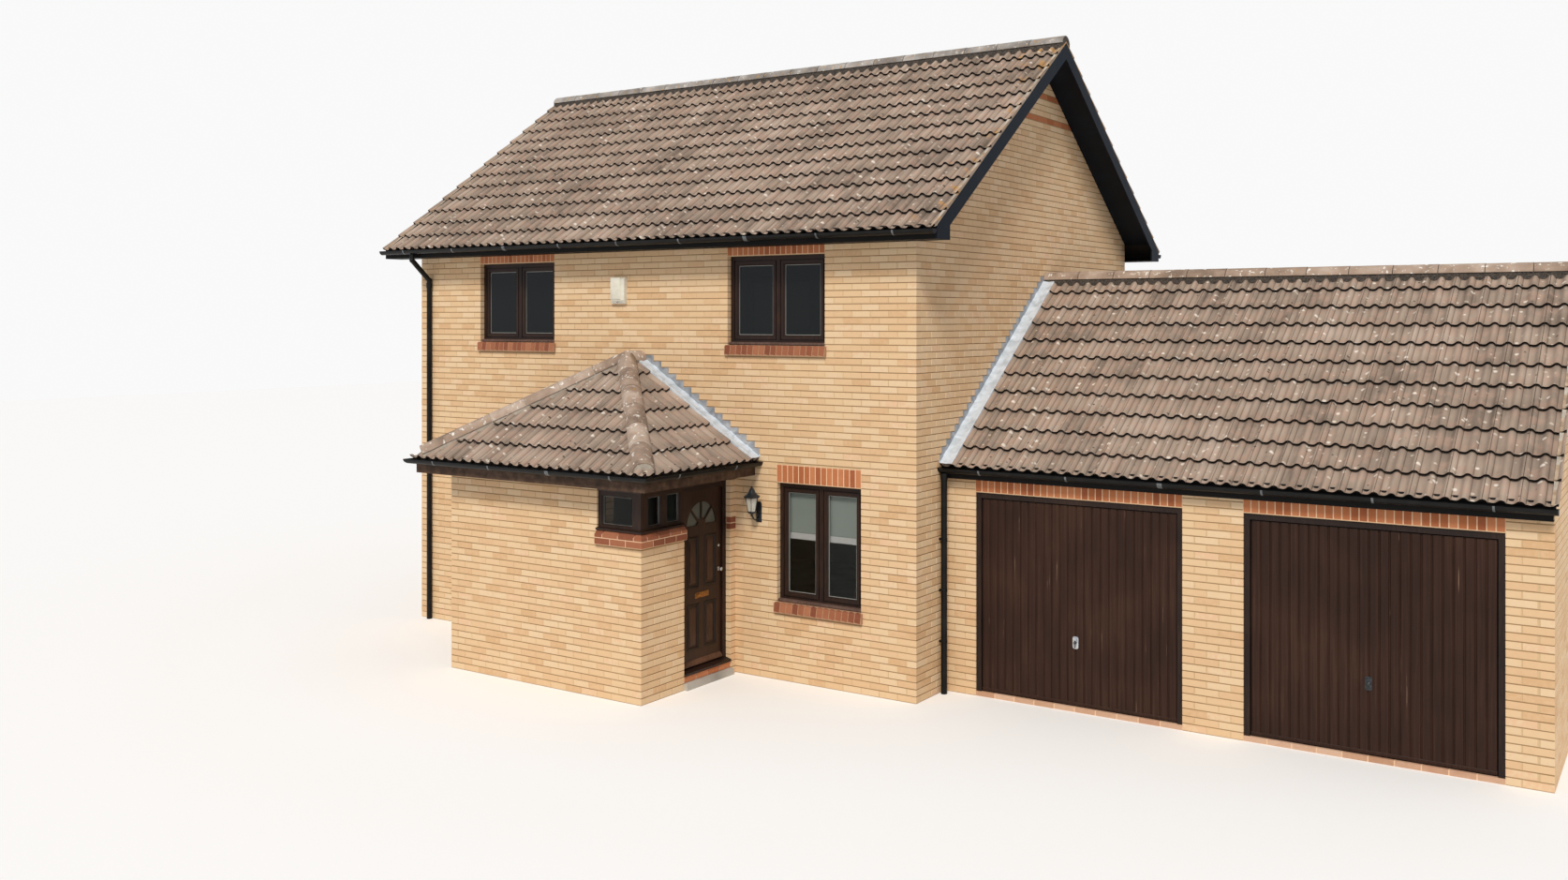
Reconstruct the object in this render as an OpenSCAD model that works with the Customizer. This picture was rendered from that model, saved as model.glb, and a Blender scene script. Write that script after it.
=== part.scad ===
// Detached brick house with a hipped entrance porch and a linked double garage.
// Millimetres. X runs along the ridge, Y towards the back garden, Z up.
// The origin is the middle of the house block's footprint, at ground level.

/* [House block] */
// Length of the house block along its ridge, over the brickwork
house_w = 7750; // [6500:10:9500]
// Depth of the house block from front face to back face
house_d = 6290; // [5500:10:7500]
// Thickness of the cavity walls
wall_t = 275; // [215:5:330]
// Finished ground floor above the ground
floor_z = 150; // [100:5:225]
// Finished first floor above the ground
first_floor_z = 2785; // [2700:5:2900]
// Depth of the first floor joists with their boards and ceiling
first_floor_t = 235; // [150:5:300]
// Underside of the soffit at the eaves
soffit_z = 4940; // [4900:5:5300]
// Height of the lower storey's wall pieces at the front
lower_wall_h = 2325; // [2300:5:2500]
// Width of the opening from the porch into the house
hall_w = 1200; // [900:10:1500]

/* [House roof] */
// Slope of the house roof in degrees
main_pitch = 35.5; // [30:0.5:42]
// Reach of the fascia's face past the wall
main_proj = 290; // [200:5:350]
// Gutter rim above the soffit
main_rim_h = 102; // [95:1:150]
// Reach of the tiles past the gable walls
verge_over = 405; // [250:5:500]
// Depth of the barge boards
barge_h = 200; // [150:5:240]

/* [Tiles and timbers] */
// Upright depth of the tile layer at the eaves
tile_t = 45; // [30:1:60]
// Upright depth of the rafters under the tiles
rafter_t = 105; // [80:1:130]
// Reach of the tiles past the fascia's face
tile_over = 57; // [40:1:65]
// Clearance between the gutter rim and the tiles
tile_clear = 4; // [2:1:10]
// Thickness of fascias, barge boards and other boards
board_t = 20; // [15:1:28]
// Thickness of the soffit boards
soffit_t = 9; // [6:1:15]
// Radius of the ridge and hip tiles
ridge_r = 125; // [110:1:140]
// Height of a ridge tile's crown above the line where the slopes meet
ridge_rise = 45; // [35:1:60]
// Height of a brick course with its joint, which the stepped lead follows
course_h = 75; // [70:1:80]

/* [Windows] */
// Width of an upper window
upper_w = 1350; // [900:10:1600]
// Head of the upper windows above the ground
upper_head = 4840; // [4700:5:4890]
// Height of an upper window
upper_h = 1025; // [800:5:1200]
// Brickwork between a house corner and the nearest upper window
upper_edge = 1150; // [900:10:1300]
// Width of the lower window
lower_w = 1120; // [900:10:1350]
// Head of the lower window above the ground
lower_head = 2245; // [2100:5:2290]
// Height of the lower window
lower_h = 1350; // [1000:5:1500]
// Brickwork between the house corner and the lower window
lower_edge = 680; // [500:10:900]
// Depth of the window reveal from the wall's face to the frame
reveal = 65; // [50:5:90]
// Depth of a window frame
frame_d = 65; // [55:1:80]
// Face width of an outer window frame
frame_w = 50; // [40:1:65]
// Face width of an opening sash
sash_w = 48; // [40:1:60]
// Thickness of a sealed glass unit
glass_t = 20; // [12:1:28]
// Height of a brick sill's face
sill_h = 125; // [100:5:150]
// Reach of a brick sill past the wall's face
sill_proj = 40; // [20:1:60]
// Reach of the timber sill under a window frame past the frame's face
sub_out = 45; // [20:1:50]
// Thickness of a timber window sill
sub_t = 28; // [22:1:35]
// Drop of a roller blind from the glass's top edge
blind_drop = 560; // [300:10:900]

/* [Porch] */
// Width of the porch over its walls
porch_w = 2900; // [2600:10:3200]
// Reach of the porch in front of the house
porch_d = 1703; // [1650:1:1900]
// Middle of the porch along X
porch_x = 40; // [-200:10:200]
// Slope of the porch roof in degrees
porch_pitch = 33; // [28:0.5:37]
// Underside of the porch soffit
porch_soffit_z = 2310; // [2290:5:2340]
// Reach of the porch fascia's face past the wall
porch_proj = 285; // [200:5:320]
// Gutter rim above the porch soffit
porch_rim_h = 160; // [140:1:180]
// Top of the brickwork under the corner window
porch_band_z = 1672; // [1600:1:1700]
// Height of the red brick band under the corner window
porch_band_h = 153; // [140:1:165]
// Reach of the red brick band past the wall
porch_band_proj = 45; // [20:1:60]
// Width of the corner window on the porch front
porch_win_w = 622; // [500:1:750]
// Side of the timber post at the porch corner
porch_post = 90; // [70:5:110]

/* [Front door] */
// Brickwork between the front door and the house
door_pier = 103; // [90:1:150]
// Width of the door opening in the brickwork
door_w = 864; // [820:1:880]
// Head of the door opening above the ground
door_head = 2250; // [2200:5:2280]
// Depth of the door's reveal
door_reveal = 60; // [50:5:80]
// Thickness of the door leaf
leaf_t = 44; // [40:1:50]
// Clearance round the door leaf
leaf_gap = 7; // [6:0.5:8]
// Face width of the door frame
door_frame_w = 55; // [45:1:65]
// Height of the door's timber sill
door_sill_h = 45; // [35:1:55]

/* [Garage] */
// Set-back of the garage front behind the house front
garage_recess = 665; // [500:5:900]
// Thickness of the garage walls, half a brick
garage_wall_t = 103; // [100:1:110]
// Width of a garage door opening in the brickwork
gdoor_w = 2280; // [2100:10:2400]
// Height of the garage door opening above the ground
gdoor_head = 2220; // [2150:5:2240]
// Width of the brick piers at the ends of the garage front
pier_end = 375; // [330:5:450]
// Width of the brick pier between the doors
pier_mid = 595; // [450:5:700]
// Garage floor above the ground
garage_floor_z = 50; // [40:5:75]
// Slope of the garage roof in degrees
garage_pitch = 36; // [32:0.5:38]
// Underside of the garage soffit
garage_soffit_z = 2360; // [2350:5:2400]
// Reach of the garage fascia's face past the wall
garage_proj = 77; // [60:1:110]
// Gutter rim above the garage soffit
garage_rim_h = 114; // [105:1:130]
// Reach of the garage tiles past its end wall
garage_verge = 45; // [30:5:60]

/* [Garage doors] */
// Face width of the garage door frames
gframe_w = 60; // [50:1:75]
// Depth of the garage door frames
gframe_d = 75; // [65:1:85]
// Set-back of the garage door frames behind the brickwork
gframe_back = 15; // [5:1:20]
// Clearance between a door panel and its frame
gpanel_gap = 8; // [7:0.5:12]
// Clearance under a closed door panel
gpanel_floor_gap = 12; // [8:1:20]
// Depth of a door panel at its edges
gpanel_t = 30; // [25:1:34]
// Set-back of a door panel's face behind its frame's face
gpanel_back = 15; // [10:1:20]
// Number of pressed ribs across a door panel
rib_count = 24; // [12:1:30]
// Depth of the pressed ribs
rib_d = 9; // [5:1:12]
// Distance from a door panel's back to the line that its pivots run on
pivot_off = 53; // [53:1:65]
// Width of a lift arm
arm_w = 30; // [24:1:36]
// Thickness of a lift arm
arm_t = 6; // [4:1:8]
// Radius of the pivot pins
pin_r = 6; // [4:0.5:8]

/* [Gutters and pipes] */
// Outer radius of the half-round gutters
gutter_r = 56; // [50:1:62]
// Wall thickness of gutters and downpipes
pipe_wall = 3; // [2:0.5:5]
// Outer radius of the downpipes
pipe_r = 34; // [30:1:40]

/* [Hidden] */
$fn = 48;
eps = 1;
big = 20000;
// Hairline joint between pieces that butt together in one node
joint = 0.3;

// House block
x0 = -house_w / 2;
x1 = house_w / 2;
y0 = -house_d / 2;
y1 = house_d / 2;
wall_edge = tile_over + main_proj;
main_run = house_d / 2 + wall_edge;
main_edge_z = soffit_z + main_rim_h + tile_clear;

// Porch
px0 = porch_x - porch_w / 2;
px1 = porch_x + porch_w / 2;
py0 = y0 - porch_d;
porch_edge = tile_over + porch_proj;
porch_run = porch_w / 2 + porch_edge;
porch_edge_z = porch_soffit_z + porch_rim_h + tile_clear;
win_z = porch_band_z + porch_band_h;
door_y1 = y0 - door_pier;
door_y0 = door_y1 - door_w;

// Garage
gx0 = x1;
gy0 = y0 + garage_recess;
garage_w = 2 * pier_end + 2 * gdoor_w + pier_mid;
gx1 = gx0 + garage_w;
garage_depth = y1 - gy0;
garage_edge = tile_over + garage_proj;
garage_run = garage_depth / 2 + garage_edge;
garage_edge_z = garage_soffit_z + garage_rim_h + tile_clear;
gdoor_x = [gx0 + pier_end, gx0 + pier_end + gdoor_w + pier_mid];

// Top and underside of the tiles, underside of the rafters, and top of what bears the rafters,
// a distance d in from the tiles' edge
function tile_top(edge_z, pitch, d) = edge_z + tile_t + d * tan(pitch);
function tile_low(edge_z, pitch, d) = edge_z + d * tan(pitch);
function rafter_low(edge_z, pitch, d) = edge_z - rafter_t + d * tan(pitch);
function bearing(edge_z, pitch, d) = rafter_low(edge_z, pitch, d) - joint;

// Windows as [left edge, width, sill height, head height], front then back
upper_z = upper_head - upper_h;
lower_z = lower_head - lower_h;
upper_x = [x0 + upper_edge, x1 - upper_edge - upper_w];
front_upper = [for (x = upper_x) [x, upper_w, upper_z, upper_head]];
front_lower = [[x1 - lower_edge - lower_w, lower_w, lower_z, lower_head]];
back_windows = concat(front_upper, [for (x = upper_x) [x, upper_w, lower_z, lower_head]]);

// Front door leaf: hinge line at the front jamb, closed along +Y, opening towards -X
leaf_z0 = floor_z + door_sill_h + leaf_gap;
leaf_z1 = door_head - door_frame_w - leaf_gap;
leaf_y0 = door_y0 + door_frame_w;
leaf_w = door_w - 2 * door_frame_w;
door_x1 = px1 - door_reveal;
stop_t = 12;
stop_d = 25;
leaf_x1 = door_x1 - stop_d;
leaf_x0 = leaf_x1 - leaf_t;
door_frame_d = leaf_t + stop_d;
sill_out = 75;
sill_fall = 20;
// Three hinges stand on the inner faces of the leaf and its frame
knuckle_r = 8;
knuckle_h = 34;
flap_w = 22;
flap_t = 4;
hinge_pin_r = 4;
hinge_in = 180;
pin_fit = 0.1;
hinge_x = leaf_x0 - knuckle_r;
hinge_y = leaf_y0 - leaf_gap / 2;
hinge_zs = [leaf_z0 + hinge_in, (leaf_z0 + leaf_z1) / 2, leaf_z1 - hinge_in];

// Garage doors: the pivot line lies behind the panel's back, level with the panel's top
gframe_y = gy0 + gframe_back;
gpanel_y = gframe_y + gpanel_back;
pivot_y = gpanel_y + gpanel_t + pivot_off;
panel_head_gap = 10;
panel_z1 = gdoor_head - gframe_w - panel_head_gap;
panel_z0 = garage_floor_z + gpanel_floor_gap;
panel_l = panel_z1 - panel_z0;
panel_w = gdoor_w - 2 * gframe_w - 2 * gpanel_gap;
// From a door's middle to its jambs
jamb_x = gdoor_w / 2 - gframe_w;
arm_l = panel_l / 2;
// Lengths across the door, from a jamb's inner face outwards: the arms stand behind the jambs
arm_gap = 8;
plate_gap = 6;
plate_t = 6;
pin_end = 2;

// A profile drawn in Y and Z, drawn out along X from xa to xb
module along_x(xa, xb) { translate([xa, 0, 0]) rotate([90, 0, 90]) linear_extrude(xb - xa) children(); }
// A profile drawn in X and Z, drawn out along Y from ya to yb
module along_y(ya, yb) { translate([0, yb, 0]) rotate([90, 0, 0]) linear_extrude(yb - ya) children(); }
// A plan drawn in X and Y, drawn up from za to zb
module upright(za, zb) { translate([0, 0, za]) linear_extrude(zb - za) children(); }
// A box from one corner to the other
module block(a, b) { translate(a) cube(b - a); }

// Windows

module window_holes(list, ya, yb) {
    for (w = list) block([w[0], ya - eps, w[2]], [w[0] + w[1], yb + eps, w[3]]);
}

// Cuts in a wall's outer face for the brick sills
module sill_cuts(list, face, dir) {
    for (w = list) block([w[0] - sill_proj / 2, min(face, face + dir * reveal) - eps, w[2] - sill_h],
        [w[0] + w[1] + sill_proj / 2, max(face, face + dir * reveal) + eps, w[2] + eps]);
}

// A timber sill along X, its top falling outward and its nose throated underneath
module timber_sill(l, back = 0) {
    fall = 8;
    throat = 6;
    along_x(0, l) polygon([[back, 0], [back, sub_t], [0, sub_t], [-sub_out, sub_t - fall], [-sub_out, 0],
        [throat - sub_out, 0], [throat - sub_out, throat], [2 * throat - sub_out, 0]]);
}

// One window's fixed frame with its middle post and timber sill, and two sashes inside it,
// drawn from its front
module window_frame(w) {
    half = (w[1] - 3 * frame_w) / 2;
    z0 = w[2] + frame_w;
    z1 = w[3] - frame_w;
    translate([w[0], 0, w[2]]) timber_sill(w[1], frame_d / 4);
    difference() {
        translate([w[0], 0, w[2]]) cube([w[1], frame_d, w[3] - w[2]]);
        for (k = [0, 1]) translate([w[0] + frame_w + k * (half + frame_w) + sash_w, -eps, z0 + sash_w])
            cube([half - 2 * sash_w, frame_d + 2 * eps, z1 - z0 - 2 * sash_w]);
        for (k = [0, 1]) translate([w[0] + frame_w + k * (half + frame_w), -eps, z0])
            difference() {
                cube([half, frame_d / 4, z1 - z0]);
                translate([sash_w / 4, -eps, sash_w / 4])
                    cube([half - sash_w / 2, frame_d, z1 - z0 - sash_w / 2]);
            }
    }
}

module window_panes(w) {
    half = (w[1] - 3 * frame_w) / 2;
    z0 = w[2] + frame_w + sash_w;
    z1 = w[3] - frame_w - sash_w;
    for (k = [0, 1]) translate([w[0] + frame_w + k * (half + frame_w) + sash_w, (frame_d - glass_t) / 2, z0])
        cube([half - 2 * sash_w, glass_t, z1 - z0]);
}

// Puts a window's pieces behind the reveal, in the front wall or turned round into the back wall
module at_front() { translate([0, y0 + reveal, 0]) children(); }
module at_back() { translate([0, y1 - reveal, 0]) mirror([0, 1, 0]) children(); }

module window_frames() color("#33201a") {
    for (w = concat(front_upper, front_lower)) at_front() window_frame(w);
    for (w = back_windows) at_back() window_frame(w);
}

module window_glass() color("#6f7f86") {
    for (w = concat(front_upper, front_lower)) at_front() window_panes(w);
    for (w = back_windows) at_back() window_panes(w);
}

// A brick sill: flat under the frame, then falling to its outer edge
module sill(w) {
    along_x(w[0] - sill_proj / 2, w[0] + w[1] + sill_proj / 2)
        polygon([[-sill_proj, w[2] - sill_h], [0, w[2] - sill_h], [reveal, w[2] - sill_h], [reveal, w[2]],
            [-sill_proj, w[2] - sill_proj / 2]]);
}

module window_sills() color("#9c4a2f") {
    for (w = concat(front_upper, front_lower)) translate([0, y0, 0]) sill(w);
    for (w = back_windows) translate([0, y1, 0]) mirror([0, 1, 0]) sill(w);
}

// Two blinds drawn down behind the lower window's panes, each with a bottom bar
module roller_blinds() color("#dcdccb") {
    w = front_lower[0];
    half = (w[1] - 3 * frame_w) / 2;
    roll_r = 20;
    cloth_t = 2;
    top = w[3] - roll_r;
    for (k = [0, 1]) translate([w[0] + frame_w + k * (half + frame_w), y0 + reveal + frame_d, 0]) {
        translate([0, roll_r, top]) rotate([0, 90, 0]) cylinder(r = roll_r, h = half);
        translate([0, 0, top - blind_drop]) cube([half, cloth_t, blind_drop]);
        translate([0, 0, top - blind_drop - roll_r]) cube([half, roll_r / 2, roll_r]);
    }
}

// House walls and floors

module ground_slab() color("#a8a49b")
    block([x0 + wall_t, y0 + wall_t, 0], [x1 - wall_t, y1 - wall_t, floor_z]);

// The porch floor, with the part of it that runs through the wall into the house
module porch_slab() color("#a8a49b") {
    block([porch_x - hall_w / 2, y0, 0], [porch_x + hall_w / 2, y0 + wall_t, floor_z]);
    block([px0 + wall_t, py0 + wall_t, 0], [px1 - wall_t, y0, floor_z]);
}

module first_floor() color("#b79d78")
    block([x0 + wall_t, y0 + wall_t, first_floor_z - first_floor_t],
        [x1 - wall_t, y1 - wall_t, first_floor_z]);

// Profile of a long wall in Y and Z, with its top cut to the slope of the rafters
module eaves_wall_profile(edge_z, pitch, edge, t) {
    polygon([[0, 0], [t, 0], [t, bearing(edge_z, pitch, edge + t)], [0, bearing(edge_z, pitch, edge)]]);
}

module front_wall_left() color("#d8b078")
    block([x0, y0, 0], [porch_x - hall_w / 2, y0 + wall_t, lower_wall_h]);

module front_wall_right() color("#d8b078") difference() {
    block([porch_x + hall_w / 2, y0, 0], [x1, y0 + wall_t, lower_wall_h]);
    window_holes(front_lower, y0, y0 + wall_t);
    sill_cuts(front_lower, y0, 1);
}

module front_wall_upper() color("#d8b078") difference() {
    along_x(x0, x1) translate([y0, 0]) difference() {
        eaves_wall_profile(main_edge_z, main_pitch, wall_edge, wall_t);
        translate([-eps, -eps]) square([wall_t + 2 * eps, lower_wall_h + eps]);
    }
    window_holes(front_upper, y0, y0 + wall_t);
    sill_cuts(front_upper, y0, 1);
}

module back_wall() color("#d8b078") difference() {
    along_x(x0, x1) translate([y1, 0]) mirror([1, 0])
        eaves_wall_profile(main_edge_z, main_pitch, wall_edge, wall_t);
    window_holes(back_windows, y1 - wall_t, y1);
    sill_cuts(back_windows, y1, -1);
}

// Gable wall between the long walls, up to the rafters
module gable_profile() {
    shoulder = bearing(main_edge_z, main_pitch, wall_edge + wall_t);
    polygon([[y0 + wall_t, 0], [y1 - wall_t, 0], [y1 - wall_t, shoulder],
        [0, bearing(main_edge_z, main_pitch, main_run)], [y0 + wall_t, shoulder]]);
}
module left_gable_wall() color("#d8b078") along_x(x0, x0 + wall_t) gable_profile();
module right_gable_wall() color("#d8b078") along_x(x1 - wall_t, x1) gable_profile();

// Roofs

// The tile layer and the rafters butted under it, each cut upright at the ridge
module tile_profile(edge_z, pitch, run) polygon([[0, tile_low(edge_z, pitch, 0)],
    [0, tile_top(edge_z, pitch, 0)], [run, tile_top(edge_z, pitch, run)], [run, tile_low(edge_z, pitch, run)]]);
module rafter_profile(edge_z, pitch, run) {
    d1 = tile_over + board_t;
    polygon([[d1, rafter_low(edge_z, pitch, d1)], [d1, tile_low(edge_z, pitch, d1) - joint],
        [run, tile_low(edge_z, pitch, run) - joint], [run, rafter_low(edge_z, pitch, run)]]);
}
module slope_profile(edge_z, pitch, run) {
    tile_profile(edge_z, pitch, run);
    rafter_profile(edge_z, pitch, run);
}

// The tiles lap over the barge boards, and the rafters stop at them
module main_slope() translate([0, -main_run, 0]) {
    along_x(x0 - verge_over, x1 + verge_over) tile_profile(main_edge_z, main_pitch, main_run);
    along_x(x0 - verge_over + board_t, x1 + verge_over - board_t)
        rafter_profile(main_edge_z, main_pitch, main_run);
}
module main_roof_front() color("#7d6a5c") main_slope();
module main_roof_back() color("#7d6a5c") mirror([0, 1, 0]) main_slope();

ridge_y = (gy0 + y1) / 2;
module garage_slope() translate([0, -garage_run, 0]) {
    along_x(gx0, gx1 + garage_verge) tile_profile(garage_edge_z, garage_pitch, garage_run);
    along_x(gx0, gx1) rafter_profile(garage_edge_z, garage_pitch, garage_run);
}
module garage_roof_front() color("#7d6a5c") translate([0, ridge_y, 0]) garage_slope();
module garage_roof_back() color("#7d6a5c") translate([0, ridge_y, 0]) mirror([0, 1, 0]) garage_slope();

// Plan of one porch slope, out to the tiles' edge and up to the hips and the short ridge
porch_y = y0 - porch_d - porch_edge;
apex_y = porch_y + porch_run;
module porch_side_plan(s)
    polygon([[porch_x, apex_y], [porch_x, y0], [porch_x + s * porch_run, y0],
        [porch_x + s * porch_run, porch_y]]);
module porch_side_slope(s) intersection() {
    along_y(porch_y, y0) translate([porch_x, 0]) mirror([s > 0 ? 1 : 0, 0]) translate([-porch_run, 0])
        slope_profile(porch_edge_z, porch_pitch, porch_run);
    upright(0, big) porch_side_plan(s);
}
module porch_roof_left() color("#7d6a5c") porch_side_slope(-1);
module porch_roof_right() color("#7d6a5c") porch_side_slope(1);
module porch_roof_front() color("#7d6a5c") intersection() {
    along_x(porch_x - porch_run, porch_x + porch_run) translate([porch_y, 0])
        slope_profile(porch_edge_z, porch_pitch, porch_run);
    upright(0, big) polygon([[porch_x - porch_run, porch_y], [porch_x + porch_run, porch_y],
        [porch_x, apex_y]]);
}

// A ridge tile's profile, bedded down onto slopes that fall by the given angle each side
module cap_profile(fall) difference() {
    translate([0, ridge_rise - ridge_r]) circle(ridge_r);
    polygon([[0, joint], [big, joint - big * tan(fall)], [big, -big], [-big, -big],
        [-big, joint - big * tan(fall)]]);
}

module ridge_tiles() color("#8c7767") {
    along_x(x0 - verge_over, x1 + verge_over) translate([0, tile_top(main_edge_z, main_pitch, main_run)])
        cap_profile(main_pitch);
    along_x(gx0, gx1 + garage_verge) translate([ridge_y, tile_top(garage_edge_z, garage_pitch, garage_run)])
        cap_profile(garage_pitch);
}

// The hips rise at 45 degrees in plan, so they fall away less steeply than the slopes
porch_apex_z = tile_top(porch_edge_z, porch_pitch, porch_run);
hip_rise = atan(tan(porch_pitch) / sqrt(2));
hip_fall = atan(tan(porch_pitch) / sqrt(2) / sqrt(1 + pow(tan(porch_pitch), 2) / 2));
hip_l = porch_run * sqrt(2) / cos(hip_rise);
module hip_cap(s) translate([porch_x, apex_y, porch_apex_z])
    rotate([0, 0, s * 45]) rotate([90 + hip_rise, 0, 0]) linear_extrude(hip_l) cap_profile(hip_fall);
module porch_hip_tiles() color("#8c7767") {
    // the hips end upright at the eaves
    intersection() {
        union() for (s = [-1, 1]) hip_cap(s);
        upright(0, big) translate([porch_x - porch_run, porch_y]) square([2 * porch_run, y0 - porch_y]);
    }
    along_y(apex_y, y0) translate([porch_x, porch_apex_z]) cap_profile(porch_pitch);
}

// Eaves

// Fascia and soffit of one eaves, drawn in Y and Z with the wall's face at 0 and the fascia at -proj
module eaves_profile(z, proj, edge_z, pitch) {
    polygon([[-proj, z], [0, z], [0, z + soffit_t], [board_t - proj, z + soffit_t],
        [board_t - proj, tile_low(edge_z, pitch, tile_over + board_t) - joint],
        [-proj, tile_low(edge_z, pitch, tile_over) - joint]]);
}

module fascias_and_soffits() color("#1d1b1b") {
    for (m = [0, 1]) mirror([0, m, 0]) along_x(x0 - verge_over + board_t, x1 + verge_over - board_t)
        translate([y0, 0]) eaves_profile(soffit_z, main_proj, main_edge_z, main_pitch);
    for (m = [0, 1]) translate([0, ridge_y, 0]) mirror([0, m, 0])
        along_x(gx0, gx1) translate([gy0 - ridge_y, 0])
            eaves_profile(garage_soffit_z, garage_proj, garage_edge_z, garage_pitch);
    porch_eaves();
}

// The porch eaves run round three sides and mitre at the corners
module porch_eaves() {
    intersection() {
        along_x(px0 - porch_proj, px1 + porch_proj) translate([py0, 0])
            eaves_profile(porch_soffit_z, porch_proj, porch_edge_z, porch_pitch);
        upright(0, big) polygon([[px0 - porch_proj, py0 - porch_proj], [px1 + porch_proj, py0 - porch_proj],
            [px1 - porch_d, py0 + porch_d], [px0 + porch_d, py0 + porch_d]]);
    }
    for (s = [0, 1]) translate([porch_x, 0, 0]) mirror([s, 0, 0]) intersection() {
        along_y(py0 - porch_proj, y0) translate([porch_w / 2, 0]) mirror([1, 0])
            eaves_profile(porch_soffit_z, porch_proj, porch_edge_z, porch_pitch);
        upright(0, big) translate([0, joint]) polygon([[porch_w / 2 + porch_proj, py0 - porch_proj],
            [porch_w / 2 + porch_proj, y0 - joint], [porch_w / 2 - porch_d, y0 - joint],
            [porch_w / 2 - porch_d, py0 + porch_d]]);
    }
}

// Sloping boards at the gable ends, close under the tiles, with a soffit board back to the wall
module barge_boards() color("#15171a") {
    top = main_run - joint;
    soffit_top = bearing(main_edge_z, main_pitch, top);
    soffit_foot = bearing(main_edge_z, main_pitch, wall_edge);
    for (m = [0, 1]) mirror([m, 0, 0]) for (n = [0, 1]) mirror([0, n, 0]) translate([0, -main_run, 0]) {
        along_x(x1 + verge_over - board_t, x1 + verge_over) barge_profile(top);
        along_x(x1, x1 + verge_over - board_t - joint) polygon([[wall_edge, soffit_foot],
            [wall_edge, soffit_foot - soffit_t], [top, soffit_top - soffit_t], [top, soffit_top]]);
    }
}
// A barge board has a level foot at the soffit, past the wall's face
module barge_profile(top) {
    function under_tiles(d) = tile_low(main_edge_z, main_pitch, d) - joint;
    polygon([[tile_over, soffit_z], [wall_edge, soffit_z], [wall_edge, under_tiles(wall_edge) - barge_h],
        [top, under_tiles(top) - barge_h], [top, under_tiles(top)], [tile_over, under_tiles(tile_over)]]);
}

// Gutters and pipes

// A half-round gutter's section, drawn as flat strips butted at hairline joints
gutter_strips = 6;
module trough() {
    turn = 180 / gutter_strips;
    slit = asin(joint / gutter_r);
    for (i = [0:gutter_strips - 1]) polygon([
        for (c = [[gutter_r, 0], [gutter_r, 1], [gutter_r - pipe_wall, 1], [gutter_r - pipe_wall, 0]])
            c[0] * [-cos(i * turn + c[1] * (turn - slit)), -sin(i * turn + c[1] * (turn - slit))]]);
}
module stop_end() intersection() {
    circle(gutter_r);
    translate([-gutter_r, -gutter_r]) square([2 * gutter_r, gutter_r]);
}

// A gutter along X in front of a fascia, with its two stop ends
gutter_out = gutter_r + joint;
end_l = pipe_wall + joint;
module gutter_run(xa, xb) {
    along_x(xa + end_l, xb - end_l) trough();
    for (x = [xa, xb - pipe_wall]) along_x(x, x + pipe_wall) stop_end();
}

module gutters() color("#15171a") {
    for (m = [0, 1]) mirror([0, m, 0]) translate([0, y0 - main_proj - gutter_out, soffit_z + main_rim_h])
        gutter_run(x0 - verge_over, x1 + verge_over);
    for (m = [0, 1]) translate([0, ridge_y, 0]) mirror([0, m, 0])
        translate([0, gy0 - ridge_y - garage_proj - gutter_out, garage_soffit_z + garage_rim_h])
        gutter_run(gx0, gx1 + garage_verge);
    porch_gutter();
}

// The porch gutter runs round three sides, with mitred corners and stop ends at the house
module porch_gutter() {
    z = porch_soffit_z + porch_rim_h;
    out = porch_proj + gutter_out;
    far = out + gutter_r;
    intersection() {
        translate([0, py0 - out, z]) along_x(px0 - far, px1 + far) trough();
        upright(0, big) polygon([[px0 - far, py0 - far], [px1 + far, py0 - far],
            [px1 - porch_d, py0 + porch_d], [px0 + porch_d, py0 + porch_d]]);
    }
    for (s = [0, 1]) translate([porch_x, 0, 0]) mirror([s, 0, 0]) {
        intersection() {
            translate([porch_w / 2 + out, 0, z]) along_y(py0 - far, y0 - end_l) trough();
            upright(0, big) translate([0, joint]) polygon([[porch_w / 2 + far, py0 - far],
                [porch_w / 2 + far, y0], [porch_w / 2 - porch_d, y0], [porch_w / 2 - porch_d, py0 + porch_d]]);
        }
        translate([porch_w / 2 + out, 0, z]) along_y(y0 - pipe_wall, y0) stop_end();
    }
}

// A downpipe down a wall at a given place, with a socket at its top
module downpipe(x, y, top) {
    socket_h = 2 * pipe_r;
    translate([x, y, 0]) difference() {
        union() {
            cylinder(r = pipe_r, h = top);
            translate([0, 0, top - socket_h]) cylinder(r = pipe_r + 2 * pipe_wall, h = socket_h);
        }
        translate([0, 0, -eps]) cylinder(r = pipe_r - pipe_wall, h = top + 2 * eps);
    }
}

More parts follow.
